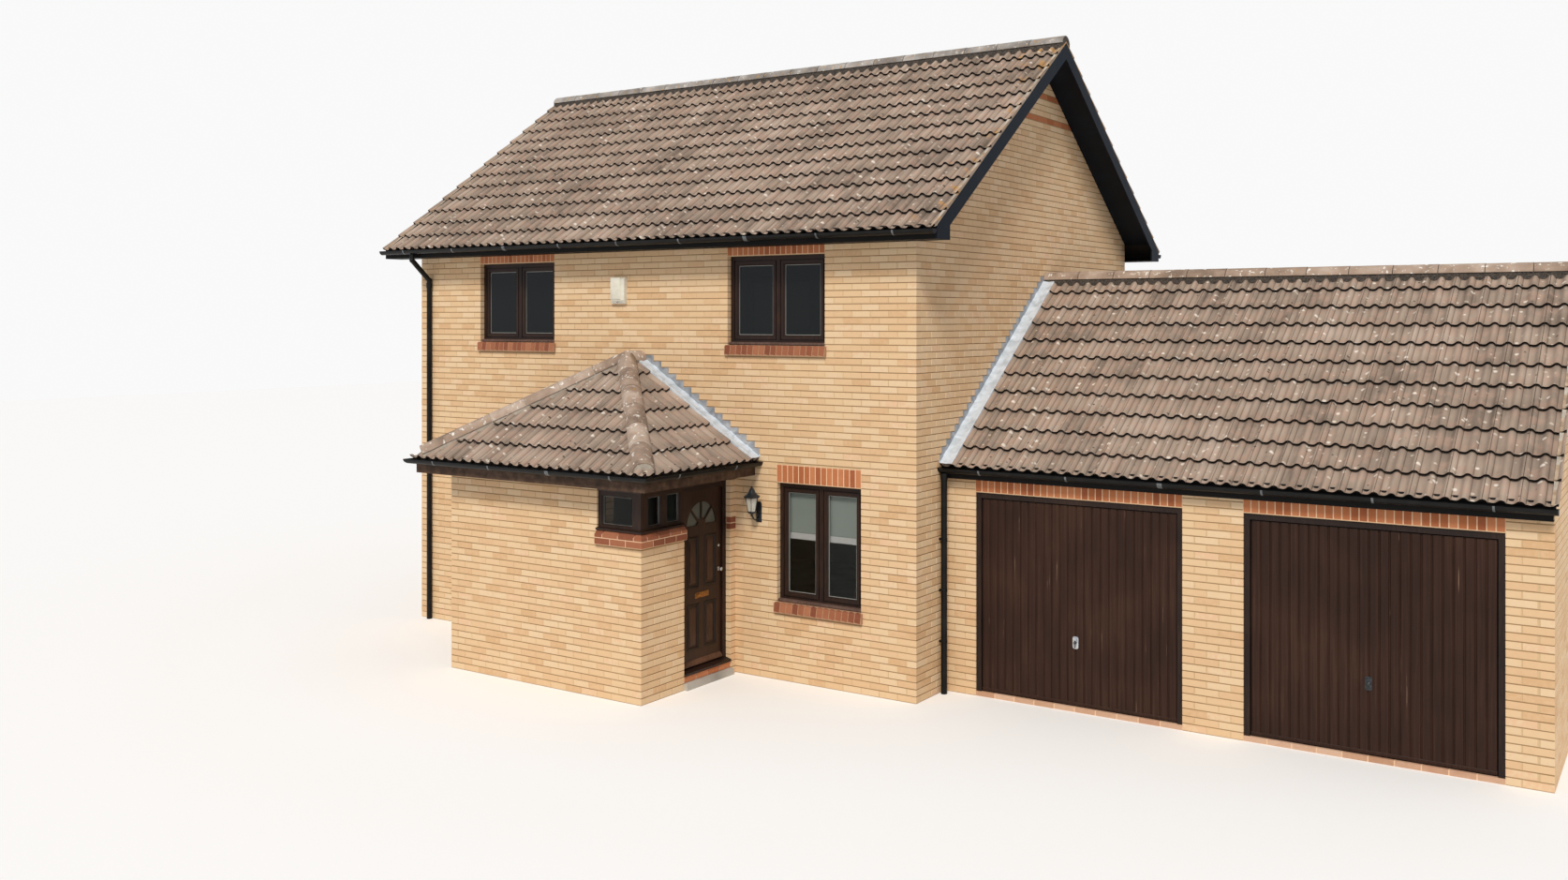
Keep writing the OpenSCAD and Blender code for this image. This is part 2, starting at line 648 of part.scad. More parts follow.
pipe_inset = 200;
house_pipe_x = x0 + pipe_inset;
clip_gap = 12;
module downpipes() color("#15171a") {
    // house pipe with a swan neck back from the gutter to the wall
    py = y0 - pipe_r - clip_gap;
    gy = y0 - main_proj - gutter_out;
    neck_top = soffit_z + main_rim_h - gutter_out;
    neck_low = soffit_z - (py - gy);
    downpipe(house_pipe_x, py, neck_low - pipe_r - joint);
    bend_z = soffit_z - pipe_r;
    bend_r = pipe_r + pipe_wall;
    translate([house_pipe_x, py, neck_low - pipe_r]) cylinder(r = pipe_r, h = pipe_r);
    translate([house_pipe_x, py, neck_low]) {
        sphere(r = bend_r);
        rotate([atan2(py - gy, bend_z - neck_low), 0, 0])
            cylinder(r = pipe_r, h = norm([py - gy, bend_z - neck_low]));
    }
    translate([house_pipe_x, gy, bend_z]) {
        sphere(r = bend_r);
        cylinder(r = pipe_r, h = neck_top - bend_z);
    }
    translate([house_pipe_x, py, 0]) clips(y0 - py, neck_low);
    // garage pipe straight down from its gutter, held to the house gable
    garage_pipe_x = gx0 + pipe_r + 2 * clip_gap;
    garage_pipe_y = gy0 - garage_proj - gutter_out;
    downpipe(garage_pipe_x, garage_pipe_y, garage_soffit_z + garage_rim_h - gutter_out);
    translate([garage_pipe_x, garage_pipe_y, 0]) rotate([0, 0, 90])
        clips(garage_pipe_x - gx0, garage_soffit_z - garage_rim_h);
}

// Clips that hold a downpipe off the wall, which stands at the given distance along +Y
module clips(off, top) {
    clip_w = 22;
    n = 3;
    for (i = [1:n]) translate([0, 0, i * top / (n + 1)]) difference() {
        union() {
            cylinder(r = pipe_r + pipe_wall, h = clip_w);
            translate([-pipe_r / 2, 0, 0]) cube([pipe_r, off, clip_w]);
        }
        translate([0, 0, -eps]) cylinder(r = pipe_r, h = clip_w + 2 * eps);
    }
}

// Lead that covers the joint between a roof slope and the wall behind it
module lead_flashings() color("#c3c8cc") {
    lead_t = 4;
    lap = 150;
    // garage: both slopes against the house gable, up to the ridge tiles
    garage_lead = garage_run - ridge_r;
    for (m = [0, 1]) translate([0, ridge_y, 0]) mirror([0, m, 0]) {
        along_x(gx0, gx0 + lap) translate([-garage_run, 0])
            sheet_profile(garage_edge_z, garage_pitch, 0, garage_lead, lead_t);
        along_x(gx0, gx0 + lead_t) intersection() {
            translate([-garage_run, 0])
                stepped_profile(garage_edge_z, garage_pitch, garage_lead, lead_t);
            translate([ridge_y - y1, 0]) square([y1 - ridge_y, big]);
        }
    }
    // porch: both side slopes against the house front
    for (s = [0, 1]) translate([porch_x, 0, 0]) mirror([s, 0, 0]) {
        along_y(y0 - lap, y0) translate([-porch_run, 0])
            sheet_profile(porch_edge_z, porch_pitch, 0, porch_run - ridge_r, lead_t);
        along_y(y0 - lead_t, y0) translate([-porch_run, 0])
            stepped_profile(porch_edge_z, porch_pitch, porch_run - ridge_r, lead_t);
    }
}
module sheet_profile(edge_z, pitch, da, db, t) polygon([
    [da, tile_top(edge_z, pitch, da) + joint], [db, tile_top(edge_z, pitch, db) + joint],
    [db, tile_top(edge_z, pitch, db) + t], [da, tile_top(edge_z, pitch, da) + t]]);

// The lead against the wall, its top cut in steps that are tucked into the brick joints
least_up = 65;
module stepped_profile(edge_z, pitch, run, t) {
    function reach(d) = (tile_top(edge_z, pitch, d) + least_up) / course_h;
    function under_step(k) = (k * course_h - least_up - tile_top(edge_z, pitch, 0)) / tan(pitch);
    steps = [for (k = [ceil(reach(run)):-1:ceil(reach(0))])
        for (d = [min(run, under_step(k)), max(0, under_step(k - 1))]) [d, k * course_h]];
    polygon(concat([[0, tile_top(edge_z, pitch, 0) + t], [run, tile_top(edge_z, pitch, run) + t]], steps));
}

// Porch walls

porch_wall_h = bearing(porch_edge_z, porch_pitch, porch_edge);
porch_slope = tan(porch_pitch);
beam_z = door_head;

module porch_front_wall() color("#d8b078") difference() {
    along_x(px0, px1) translate([py0, 0])
        eaves_wall_profile(porch_edge_z, porch_pitch, porch_edge, wall_t);
    block([px1 - porch_win_w, py0 - eps, porch_band_z], [px1 + eps, py0 + wall_t + eps, big]);
    // the hips cut the wall's ends
    for (s = [0, 1]) translate([porch_x, 0, 0]) mirror([s, 0, 0]) along_y(py0 - eps, py0 + wall_t + eps)
        polygon([[-porch_w / 2 - eps, porch_wall_h - eps * porch_slope],
            [0, porch_wall_h + porch_w / 2 * porch_slope], [0, big], [-porch_w / 2 - eps, big]]);
}

module porch_left_wall() color("#d8b078") along_y(py0 + wall_t, y0) translate([px0, 0])
    eaves_wall_profile(porch_edge_z, porch_pitch, porch_edge, wall_t);

// Brickwork either side of the front door, the front part only up to the red band
module porch_side_wall() color("#d8b078") {
    block([px1 - wall_t, py0 + wall_t, 0], [px1, door_y0, porch_band_z]);
    block([px1 - wall_t, door_y1, 0], [px1, y0, beam_z]);
}

// Red bricks that wrap the corner under the window, with a sloping top course outside the frames
module porch_sill_band() color("#9c4a2f") {
    out = porch_band_proj;
    // height of the band's outer edge, below its flat top under the frames
    edge = win_z - out;
    arm_y = py0 + wall_t;
    front = [[px1 - porch_win_w, py0 - out], [px1 + out, py0 - out], [px1 + out, arm_y - joint],
        [px1 - porch_win_w, arm_y - joint]];
    side = [[px1 - wall_t, arm_y], [px1 + out, arm_y], [px1 + out, door_y0], [px1 - wall_t, door_y0]];
    for (plan = [front, side]) intersection() {
        upright(porch_band_z, win_z) polygon(plan);
        along_x(px0, px1 + porch_w) polygon([[py0 - out, 0], [y0, 0], [y0, win_z], [py0 + porch_set, win_z],
            [py0 - out, edge]]);
        along_y(py0 - porch_w, y0) polygon([[px0, 0], [px1 + out, 0], [px1 + out, edge],
            [px1 - porch_set, win_z], [px0, win_z]]);
    }
}

// Timber over the corner window and the front door, up to the rafters
module beam_profile() difference() {
    eaves_wall_profile(porch_edge_z, porch_pitch, porch_edge, wall_t);
    translate([-eps, -eps]) square([wall_t + 2 * eps, beam_z + eps]);
}
module porch_beam() color("#2c1c17") {
    intersection() {
        along_x(px1 - porch_win_w, px1) translate([py0, 0]) beam_profile();
        along_y(py0 - eps, py0 + wall_t + eps) polygon([[px0, 0], [px1, 0], [px1, porch_wall_h],
            [px1 - porch_w / 2, porch_wall_h + porch_w / 2 * porch_slope], [px0, big]]);
    }
    along_y(py0 + wall_t + joint, y0) translate([px1, 0]) mirror([1, 0]) beam_profile();
}

pwin_y0 = py0 + porch_post;
module porch_light(l, z0, z1) difference() {
    cube([l, frame_d, z1 - z0]);
    translate([frame_w, -eps, frame_w]) cube([l - 2 * frame_w, frame_d + 2 * eps, z1 - z0 - 2 * frame_w]);
}
module porch_light_pane(l, z0, z1)
    translate([frame_w, (frame_d - glass_t) / 2, frame_w])
        cube([l - 2 * frame_w, glass_t, z1 - z0 - 2 * frame_w]);
// Places a light on the porch front, or one of two on the side
front_light_l = porch_win_w - porch_post - joint;
side_light_l = (door_y0 - pwin_y0) / 2;
porch_set = 20;
module at_porch_front() translate([px1 - porch_win_w, py0 + porch_set, win_z]) children();
module at_porch_side(i) translate([px1 - porch_set, pwin_y0 + i * side_light_l, win_z])
    rotate([0, 0, 90]) children();

module porch_corner_post(gap = 0)
    block([px1 - porch_post, py0 + porch_set / 2 - gap, win_z - gap],
        [px1 - porch_set / 2 + gap, pwin_y0 + gap, beam_z]);

// Timber sills under the lights, mitred at the corner and cut round its post
module porch_timber_sills() {
    c = [px1 - porch_set, py0 + porch_set];
    difference() {
        intersection() {
            at_porch_front() translate([0, -joint, 0]) timber_sill(porch_win_w + sub_out);
            upright(0, big) polygon([c, c + [porch_post, -porch_post], c + [-porch_w, -porch_post],
                c - [porch_w, 0]]);
        }
        porch_corner_post(joint);
    }
    difference() {
        intersection() {
            translate([c[0] + joint, py0 - sub_out, win_z]) rotate([0, 0, 90])
                timber_sill(door_y0 - joint - py0 + sub_out);
            upright(0, big) translate([0, joint]) polygon([c, c + [0, porch_w], c + [porch_post, porch_w],
                c + [porch_post, -porch_post]]);
        }
        porch_corner_post(joint);
    }
}

module porch_window_frames() color("#33201a") {
    at_porch_front() porch_light(front_light_l, win_z, beam_z);
    for (i = [0, 1]) at_porch_side(i) porch_light(side_light_l, win_z, beam_z);
    porch_corner_post();
    porch_timber_sills();
}
module porch_glass() color("#6f7f86") {
    at_porch_front() porch_light_pane(front_light_l, win_z, beam_z);
    for (i = [0, 1]) at_porch_side(i) porch_light_pane(side_light_l, win_z, beam_z);
}

// Front door

// Jambs and head, each with a planted stop that the leaf closes against, and a sill
module front_door_frame() color("#2c1c17") {
    sill_z = floor_z + door_sill_h;
    head_z = door_head - door_frame_w;
    jamb_w = door_frame_w - leaf_gap;
    stop_w = leaf_gap + stop_t - joint;
    upright(sill_z + joint, head_z - joint) for (m = [0, 1])
        translate([leaf_x0, door_y0 + m * door_w]) mirror([0, m]) {
            square([door_frame_d, jamb_w]);
            translate([leaf_t + leaf_gap, jamb_w + joint]) square([stop_d - leaf_gap, stop_w]);
        }
    along_y(door_y0, door_y1) translate([leaf_x0, head_z]) square([door_frame_d, door_frame_w]);
    along_y(door_y0 + door_frame_w + stop_t + joint, door_y1 - door_frame_w - stop_t - joint)
        translate([leaf_x1 + leaf_gap, head_z - joint - stop_w]) square([stop_d - leaf_gap, stop_w]);
    // the sill runs out over the step with a weathered top
    along_y(door_y0, door_y1) polygon([[leaf_x0, floor_z], [door_x1 + sill_out, floor_z],
        [door_x1 + sill_out, sill_z - sill_fall], [door_x1, sill_z], [leaf_x0, sill_z]]);
    for (z = hinge_zs) {
        translate([hinge_x, hinge_y, z]) cylinder(r = knuckle_r, h = knuckle_h);
        translate([hinge_x, hinge_y, z]) cylinder(r = hinge_pin_r, h = 2 * knuckle_h);
        block([leaf_x0 - flap_t, hinge_y - flap_w, z], [leaf_x0 - joint, hinge_y, z + knuckle_h]);
    }
}

// The fan of four panes in the top of the leaf, drawn about its hub
fan_r = 0.36 * leaf_w;
fan_hub = 0.1 * leaf_w;
fan_bar = 24;
top_rail_h = 150;
fan_z = leaf_z1 - fan_r - top_rail_h;
module fan_pane(i) difference() {
    intersection() {
        circle(fan_r);
        rotate(i * 45) polygon([[fan_hub, fan_bar / 2], [big, fan_bar / 2], [big, big - fan_bar],
            [fan_hub, fan_hub - fan_bar / 2]]);
    }
    circle(fan_hub);
}
module fan(i0, i1, xa, xb) along_x(xa, xb) translate([leaf_y0 + leaf_w / 2, fan_z])
    for (i = [i0:i1]) fan_pane(i);

// Two tall panels above the middle rail and two below it, sunk into both faces
stile_w = 0.16 * leaf_w;
mid_rail_z = 890;
rail_h = 190;
panel_sink = 9;
module leaf_panels() {
    y = leaf_y0;
    pw = (leaf_w - 3 * stile_w) / 2;
    for (k = [0, 1]) for (zz = [[leaf_z0 + rail_h, mid_rail_z], [mid_rail_z + rail_h, fan_z - stile_w]])
        for (x = [leaf_x0 - eps, leaf_x1 - panel_sink])
            block([x, y + stile_w + k * (pw + stile_w), zz[0]],
                [x + panel_sink + eps, y + stile_w + k * (pw + stile_w) + pw, zz[1]]);
}

module front_door() color("#33201a") {
    difference() {
        block([leaf_x0, leaf_y0, leaf_z0], [leaf_x1, leaf_y0 + leaf_w, leaf_z1]);
        leaf_panels();
        fan(0, 3, leaf_x0 - eps, leaf_x1 + eps);
    }
    // knuckles that turn on the frame's pins
    for (z = hinge_zs) translate([0, 0, z + knuckle_h + pin_fit]) difference() {
        union() {
            translate([hinge_x, hinge_y, 0]) cylinder(r = knuckle_r, h = knuckle_h);
            block([leaf_x0 - flap_t, hinge_y, 0], [leaf_x0 + eps, hinge_y + flap_w, knuckle_h]);
        }
        translate([hinge_x, hinge_y, -eps]) cylinder(r = hinge_pin_r + pin_fit, h = knuckle_h + 2 * eps);
    }
}

module front_door_glass() color("#6f7f86") fan(0, 3, leaf_x0 + leaf_t / 3, leaf_x1 - leaf_t / 3);

// Letter plate on the middle rail, and a knob and a lock near the free edge
module front_door_fittings() color("#b08a4a") {
    plate_w = 250;
    plate_h = 65;
    plate_out = 8;
    knob_z = 1230;
    lock_z = 1500;
    knob_r = 22;
    stem_r = 8;
    stem_l = 30;
    lock_r = 17;
    lock_t = 9;
    rose_t = 4;
    block([leaf_x1, leaf_y0 + (leaf_w - plate_w) / 2, mid_rail_z + (rail_h - plate_h) / 2],
        [leaf_x1 + plate_out, leaf_y0 + (leaf_w + plate_w) / 2, mid_rail_z + (rail_h + plate_h) / 2]);
    translate([leaf_x1, leaf_y0 + leaf_w - stile_w / 2, 0]) {
        translate([0, 0, knob_z]) rotate([0, 90, 0]) {
            cylinder(r = knob_r + rose_t / 2, h = rose_t);
            cylinder(r = stem_r, h = stem_l);
            translate([0, 0, stem_l]) sphere(r = knob_r);
        }
        translate([0, 0, lock_z]) rotate([0, 90, 0]) cylinder(r = lock_r, h = lock_t);
    }
}

// Bricks under the door's sill in the wall's thickness, and a low course in front of them
module front_step() color("#9c4a2f") {
    step_h = 75;
    step_out = 50;
    block([px1 - wall_t, door_y0, 0], [px1, door_y1, floor_z]);
    block([px1 + joint, door_y0, 0], [px1 + step_out, door_y1, step_h]);
}

// A six-sided lantern on an arm from its wall plate, beside the porch
module lantern() color("#17191b") {
    lamp_side = 340;
    lamp_x = px1 + lamp_side;
    lamp_z = 1866;
    lamp_out = 150;
    sides = 6;
    low_r = 48;
    high_r = 76;
    body_h = 176;
    foot_h = 36;
    roof_r = 88;
    roof_h = 82;
    cowl_r = 26;
    cowl_h = 18;
    ball_r = 16;
    arm = 14;
    plate_w = 76;
    plate_t = 14;
    plate_low = 92;
    plate_high = 145;
    translate([lamp_x, y0 - lamp_out, lamp_z]) {
        cylinder(r = arm, h = foot_h);
        translate([0, 0, foot_h - eps]) cylinder(r1 = low_r, r2 = high_r, h = body_h, $fn = sides);
        translate([0, 0, foot_h + body_h - 2 * eps]) {
            cylinder(r1 = roof_r, r2 = cowl_r, h = roof_h, $fn = sides);
            translate([0, 0, roof_h - eps]) cylinder(r = cowl_r, h = cowl_h, $fn = sides);
            translate([0, 0, roof_h + cowl_h + ball_r / 2]) sphere(r = ball_r);
        }
        translate([-arm / 2, 0, 0]) cube([arm, lamp_out, arm]);
    }
    block([lamp_x - plate_w / 2, y0 - plate_t, lamp_z - plate_low],
        [lamp_x + plate_w / 2, y0, lamp_z + plate_high]);
}

module number_plaque() color("#5b2f22") {
    // two bare plates, one above the other, on the short pier beside the door
    plate_z = 1668;
    plate_h = 64;
    plate_t = 14;
    edge = 6;
    for (z = [plate_z, plate_z + plate_h + edge])
        block([px1, door_y1 + edge, z], [px1 + plate_t, y0 - edge, z + plate_h]);
}

// A shallow box on the wall between the upper windows, with its edges bevelled back to the wall
module alarm_box() color("#ddd3b4") {
    window_gap = 1000;
    box_x = upper_x[0] + upper_w + window_gap;
    box_z = 4300;
    box_w = 220;
    box_h = 325;
    box_d = 62;
    bevel = 22;
    along_x(box_x, box_x + box_w) translate([y0, box_z]) polygon([[0, 0], [bevel - box_d, 0],
        [-box_d, 2 * bevel], [-box_d, box_h - bevel], [bevel - box_d, box_h], [0, box_h]]);
}

// Garage

module garage_slab() color("#a8a49b")
    block([gx0, gy0 + garage_wall_t, 0], [gx1 - garage_wall_t, y1 - garage_wall_t, garage_floor_z]);

// Brick piers at the front, at the ends and between the doors
module garage_piers() color("#d8b078") {
    edges = [[gx0, gx0 + pier_end], [gdoor_x[0] + gdoor_w, gdoor_x[1]], [gx1 - pier_end, gx1]];
    for (e = edges) block([e[0], gy0, 0], [e[1], gy0 + garage_wall_t, gdoor_head]);
}

// A low strip of bricks under each door
module garage_thresholds() color("#9c5a3f")
    for (x = gdoor_x) block([x, gy0, 0], [x + gdoor_w, gy0 + garage_wall_t, garage_floor_z]);

module garage_lintel() color("#d8b078") along_x(gx0, gx1) translate([gy0, 0]) difference() {
    eaves_wall_profile(garage_edge_z, garage_pitch, garage_edge, garage_wall_t);
    translate([-eps, -eps]) square([garage_wall_t + 2 * eps, gdoor_head + eps]);
}
module garage_back_wall() color("#d8b078") along_x(gx0, gx1) translate([y1, 0]) mirror([1, 0])
    eaves_wall_profile(garage_edge_z, garage_pitch, garage_edge, garage_wall_t);
module garage_end_wall() color("#d8b078") along_x(gx1 - garage_wall_t, gx1) polygon([
    [gy0 + garage_wall_t, 0], [y1 - garage_wall_t, 0],
    [y1 - garage_wall_t, bearing(garage_edge_z, garage_pitch, garage_edge + garage_wall_t)],
    [ridge_y, bearing(garage_edge_z, garage_pitch, garage_run)],
    [gy0 + garage_wall_t, bearing(garage_edge_z, garage_pitch, garage_edge + garage_wall_t)]]);

// Timber frames, each with steel plates and pins behind its jambs for the lift arms
module garage_door_frames() color("#2c1c17") for (x = gdoor_x) {
    block([x, gframe_y, gdoor_head - gframe_w], [x + gdoor_w, gframe_y + gframe_d, gdoor_head]);
    for (s = [0, 1]) translate([x + gdoor_w / 2, 0, 0]) mirror([s, 0, 0]) translate([jamb_x, 0, 0]) {
        block([0, gframe_y, garage_floor_z], [gframe_w, gframe_y + gframe_d, gdoor_head - gframe_w - joint]);
        plate_x = arm_gap + arm_t + plate_gap;
        block([plate_x, gframe_y + gframe_d + joint, panel_z1 - arm_w],
            [plate_x + plate_t, pivot_y + arm_w, panel_z1 + arm_w]);
        translate([arm_gap - pin_end, pivot_y, panel_z1]) rotate([0, 90, 0])
            cylinder(r = pin_r, h = plate_x + plate_t - arm_gap + pin_end);
    }
}

// A pressed steel sheet with upright ribs, a folded edge frame behind it and two pivot lugs
module garage_door(x) {
    xa = x + gframe_w + gpanel_gap;
    pitch = panel_w / rib_count;
    sheet_t = 2;
    groove = 14;
    // one rib's front, from groove to groove: the sheet's back follows it
    rib = [[0, rib_d], [groove / 2, rib_d], [groove, 0], [pitch - groove / 2, 0], [pitch, rib_d]];
    points = [for (i = [0:rib_count - 1]) for (k = [0:3])
        [xa + i * pitch + rib[k][0], gpanel_y + rib[k][1]]];
    front = concat(points, [[xa + panel_w, gpanel_y + rib_d]]);
    n = len(front);
    upright(panel_z0, panel_z1)
        polygon(concat(front, [for (i = [0:n - 1]) front[n - 1 - i] + [0, sheet_t]]));
    edge = 28;
    difference() {
        block([xa, gpanel_y + rib_d, panel_z0], [xa + panel_w, gpanel_y + gpanel_t, panel_z1]);
        block([xa + edge, gpanel_y, panel_z0 + edge],
            [xa + panel_w - edge, gpanel_y + gpanel_t + eps, panel_z1 - edge]);
    }
    // the lugs stand at the panel's mid height and carry pins that reach behind the jambs
    lug_x = -gpanel_gap - edge;
    z = panel_z1 - arm_l;
    for (s = [0, 1]) translate([x + gdoor_w / 2, 0, 0]) mirror([s, 0, 0]) translate([jamb_x, 0, 0]) {
        block([lug_x, gpanel_y + gpanel_t + joint, z - arm_w / 2],
            [lug_x + plate_t, pivot_y + arm_w / 2, z + arm_w / 2]);
        translate([lug_x, pivot_y, z]) rotate([0, 90, 0])
            cylinder(r = pin_r, h = arm_gap + arm_t + pin_end - lug_x);
    }
}
module garage_door_left() color("#3a2019") garage_door(gdoor_x[0]);
module garage_door_right() color("#3a2019") garage_door(gdoor_x[1]);

// Two steel bars, each with an eye at the frame's pin and an eye at the panel's pin
module garage_arms(x) for (s = [0, 1]) translate([x + gdoor_w / 2, 0, 0]) mirror([s, 0, 0])
    along_x(jamb_x + arm_gap, jamb_x + arm_gap + arm_t) difference() {
        union() {
            for (z = [panel_z1, panel_z1 - arm_l]) translate([pivot_y, z]) circle(arm_w / 2);
            translate([pivot_y - arm_w / 2, panel_z1 - arm_l]) square([arm_w, arm_l]);
        }
        for (z = [panel_z1, panel_z1 - arm_l]) translate([pivot_y, z]) circle(pin_r + pin_fit);
    }
module garage_arms_left() color("#8b8f92") garage_arms(gdoor_x[0]);
module garage_arms_right() color("#8b8f92") garage_arms(gdoor_x[1]);

// A plate and a turning handle low on the middle of the panel
module garage_handle(x) {
    plate_w = 64;
    plate_h = 130;
    handle_plate_t = 4;
    grip_w = 18;
    grip_h = 80;
    grip_t = 12;
    stem_l = 18;
    stem_r = 11;
    handle_z = 720;
    translate([x + gdoor_w / 2, gpanel_y, handle_z]) {
        translate([-plate_w / 2, -handle_plate_t, -plate_h / 2]) cube([plate_w, handle_plate_t, plate_h]);
        rotate([90, 0, 0]) cylinder(r = stem_r, h = handle_plate_t + stem_l);
        translate([-grip_w / 2, -handle_plate_t - stem_l - grip_t, -grip_h * 2 / 3])
            cube([grip_w, grip_t + eps, grip_h]);
    }
}
module garage_handle_left() color("#c9ccce") garage_handle(gdoor_x[0]);
module garage_handle_right() color("#2a2a2c") garage_handle(gdoor_x[1]);

ground_slab();
porch_slab();
first_floor();
front_wall_left();
front_wall_right();
front_wall_upper();
back_wall();
left_gable_wall();
right_gable_wall();
main_roof_front();
main_roof_back();
barge_boards();
window_frames();
window_glass();
window_sills();
roller_blinds();
alarm_box();
porch_front_wall();
porch_left_wall();
porch_side_wall();
porch_sill_band();
porch_beam();
porch_window_frames();
porch_glass();
porch_roof_front();
porch_roof_left();
porch_roof_right();
porch_hip_tiles();
front_door_frame();
front_door();
front_door_glass();
front_door_fittings();
front_step();
lantern();
number_plaque();
garage_slab();
garage_piers();
garage_thresholds();
garage_lintel();
garage_back_wall();
garage_end_wall();
garage_roof_front();
garage_roof_back();
garage_door_frames();
garage_door_left();
garage_door_right();
garage_arms_left();
garage_arms_right();
garage_handle_left();
garage_handle_right();
ridge_tiles();
fascias_and_soffits();
gutters();
downpipes();
lead_flashings();
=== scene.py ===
import math
import random

import bmesh
import bpy
import numpy as np
from mathutils import Matrix, Vector


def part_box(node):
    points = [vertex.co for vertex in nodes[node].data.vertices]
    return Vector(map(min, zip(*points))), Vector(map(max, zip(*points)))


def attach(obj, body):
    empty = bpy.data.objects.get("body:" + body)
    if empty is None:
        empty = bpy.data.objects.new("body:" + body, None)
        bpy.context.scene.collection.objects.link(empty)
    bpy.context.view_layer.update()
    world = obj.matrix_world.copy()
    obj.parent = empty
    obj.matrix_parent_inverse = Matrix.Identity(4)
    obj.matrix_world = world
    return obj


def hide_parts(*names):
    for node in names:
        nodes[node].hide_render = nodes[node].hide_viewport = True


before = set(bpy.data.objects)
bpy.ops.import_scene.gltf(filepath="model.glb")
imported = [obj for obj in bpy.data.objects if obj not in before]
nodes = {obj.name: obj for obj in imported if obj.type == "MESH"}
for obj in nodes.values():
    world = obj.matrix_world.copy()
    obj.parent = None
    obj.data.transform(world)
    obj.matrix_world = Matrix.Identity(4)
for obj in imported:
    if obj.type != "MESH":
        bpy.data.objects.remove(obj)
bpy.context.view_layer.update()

# The camera stands across the drive at first-floor height, to the right of the house front.
# It looks level, and the lens is shifted down, so that the walls stay upright as in the photograph.
camera_data = bpy.data.cameras.new("camera")
camera_data.lens = 31.44
camera_data.sensor_width = 36.0
camera_data.shift_y = -0.0768
camera_data.clip_end = 500.0
camera = bpy.data.objects.new("camera", camera_data)
camera.location = (10.89, -16.049, 4.104)
camera.rotation_euler = (math.radians(90.0), 0.0, math.radians(34.04))
bpy.context.scene.collection.objects.link(camera)
bpy.context.scene.camera = camera


# Bed and perpend mortar: a pale sand and cement mix, rubbed flush a few millimetres behind the bricks.
# The walls' solids are the mortar, seen in the joints, and the bricks stand just proud of them.

def linear(hex_colour):
    """An sRGB hex colour as the linear values that a shader takes."""
    rgb = [int(hex_colour[i:i + 2], 16) / 255 for i in (1, 3, 5)]
    return [c / 12.92 if c <= 0.04045 else ((c + 0.055) / 1.055) ** 2.4 for c in rgb] + [1.0]


def socket(sockets, key):
    """The shown socket with that name, or the one at that place."""
    if isinstance(key, int):
        return sockets[key]
    return next(s for s in sockets if s.name == key and s.enabled)


def plug(node, inputs):
    """Sets a node's inputs, each to a value, to a node's first output or to a (node, output) pair."""
    for key, value in inputs.items():
        target = socket(node.inputs, key)
        if isinstance(value, bpy.types.Node):
            node.id_data.links.new(next(s for s in value.outputs if s.enabled), target)
        elif isinstance(value, tuple) and isinstance(value[0], bpy.types.Node):
            node.id_data.links.new(socket(value[0].outputs, value[1]), target)
        else:
            target.default_value = value


def adder(tree):
    """The function that adds a node to this tree, with its inputs, a ramp's stops and its settings."""
    def add(kind, inputs=None, stops=(), **settings):
        node = tree.nodes.new(kind if "Node" in kind else "ShaderNode" + kind)
        for key, value in settings.items():
            setattr(node, key, value)
        plug(node, inputs or {})
        for i, (place, colour) in enumerate(stops):
            ramp = node.color_ramp
            stop = ramp.elements[i] if i < 2 else ramp.elements.new(place)
            stop.position = place
            stop.color = linear(colour) if isinstance(colour, str) else (colour, colour, colour, 1.0)
        return node
    return add


def start_material(name, **shader_values):
    """A material with its shader's plain values set, as (material, adder, shader, object coordinates)."""
    material = bpy.data.materials.new(name)
    material.use_nodes = True
    add = adder(material.node_tree)
    shader = material.node_tree.nodes["Principled BSDF"]
    for key, value in shader_values.items():
        shader.inputs[key.replace("_", " ")].default_value = value
    return material, add, shader, (add("TexCoord"), "Object")


def finish_nodes(material, *names):
    """Gives carried-over CAD nodes their material."""
    for node in (nodes[name] for name in names):
        for held in node.material_slots:
            held.material = material
        if not node.material_slots:
            node.data.materials.append(material)


# Sand mortar: matt, finely gritty, with grit about 2 mm across drawn at 6 mm so that it shows. The bed
# joints, one every 75 mm, are darker with painted shade, as under the bricks above; the upright ones are
# flush and clean.
mortar, add, shader, place = start_material("struck_sand_mortar", Roughness=0.95)
grit = add("TexNoise", {"Vector": place, "Scale": 160.0, "Detail": 3.0})
patch = add("TexNoise", {"Vector": place, "Scale": 1.7, "Detail": 4.0})
mix = add("Mix", {"Factor": 0.35, "A": patch, "B": grit})
clean = add("ValToRGB", {"Fac": mix}, [(0.3, "#b99b75"), (0.5, "#c9ac83"), (0.7, "#d5ba94")])
# painted shade: the bed joints are tinted darker, as if in the shadow of the bricks above
painted_bed_shade = add("ValToRGB", {"Fac": mix}, [(0.3, "#876d4c"), (0.5, "#977b57"), (0.7, "#a68a65")])
bump = add("Bump", {"Strength": 0.5, "Distance": 0.002, "Height": grit})
where = add("SeparateXYZ", {"Vector": place})
COURSE_HALF, JOINT_HALF = 0.0375, 0.005
to_bed = add("Math", {0: (where, "Z"), 1: COURSE_HALF}, operation="PINGPONG")
in_bed = add("MapRange", {"Value": to_bed, "From Min": JOINT_HALF - 0.0004, "From Max": JOINT_HALF + 0.0006,
                          "To Min": 1.0, "To Max": 0.0})
tint = add("Mix", {"Factor": in_bed, "A": clean, "B": painted_bed_shade}, data_type="RGBA")
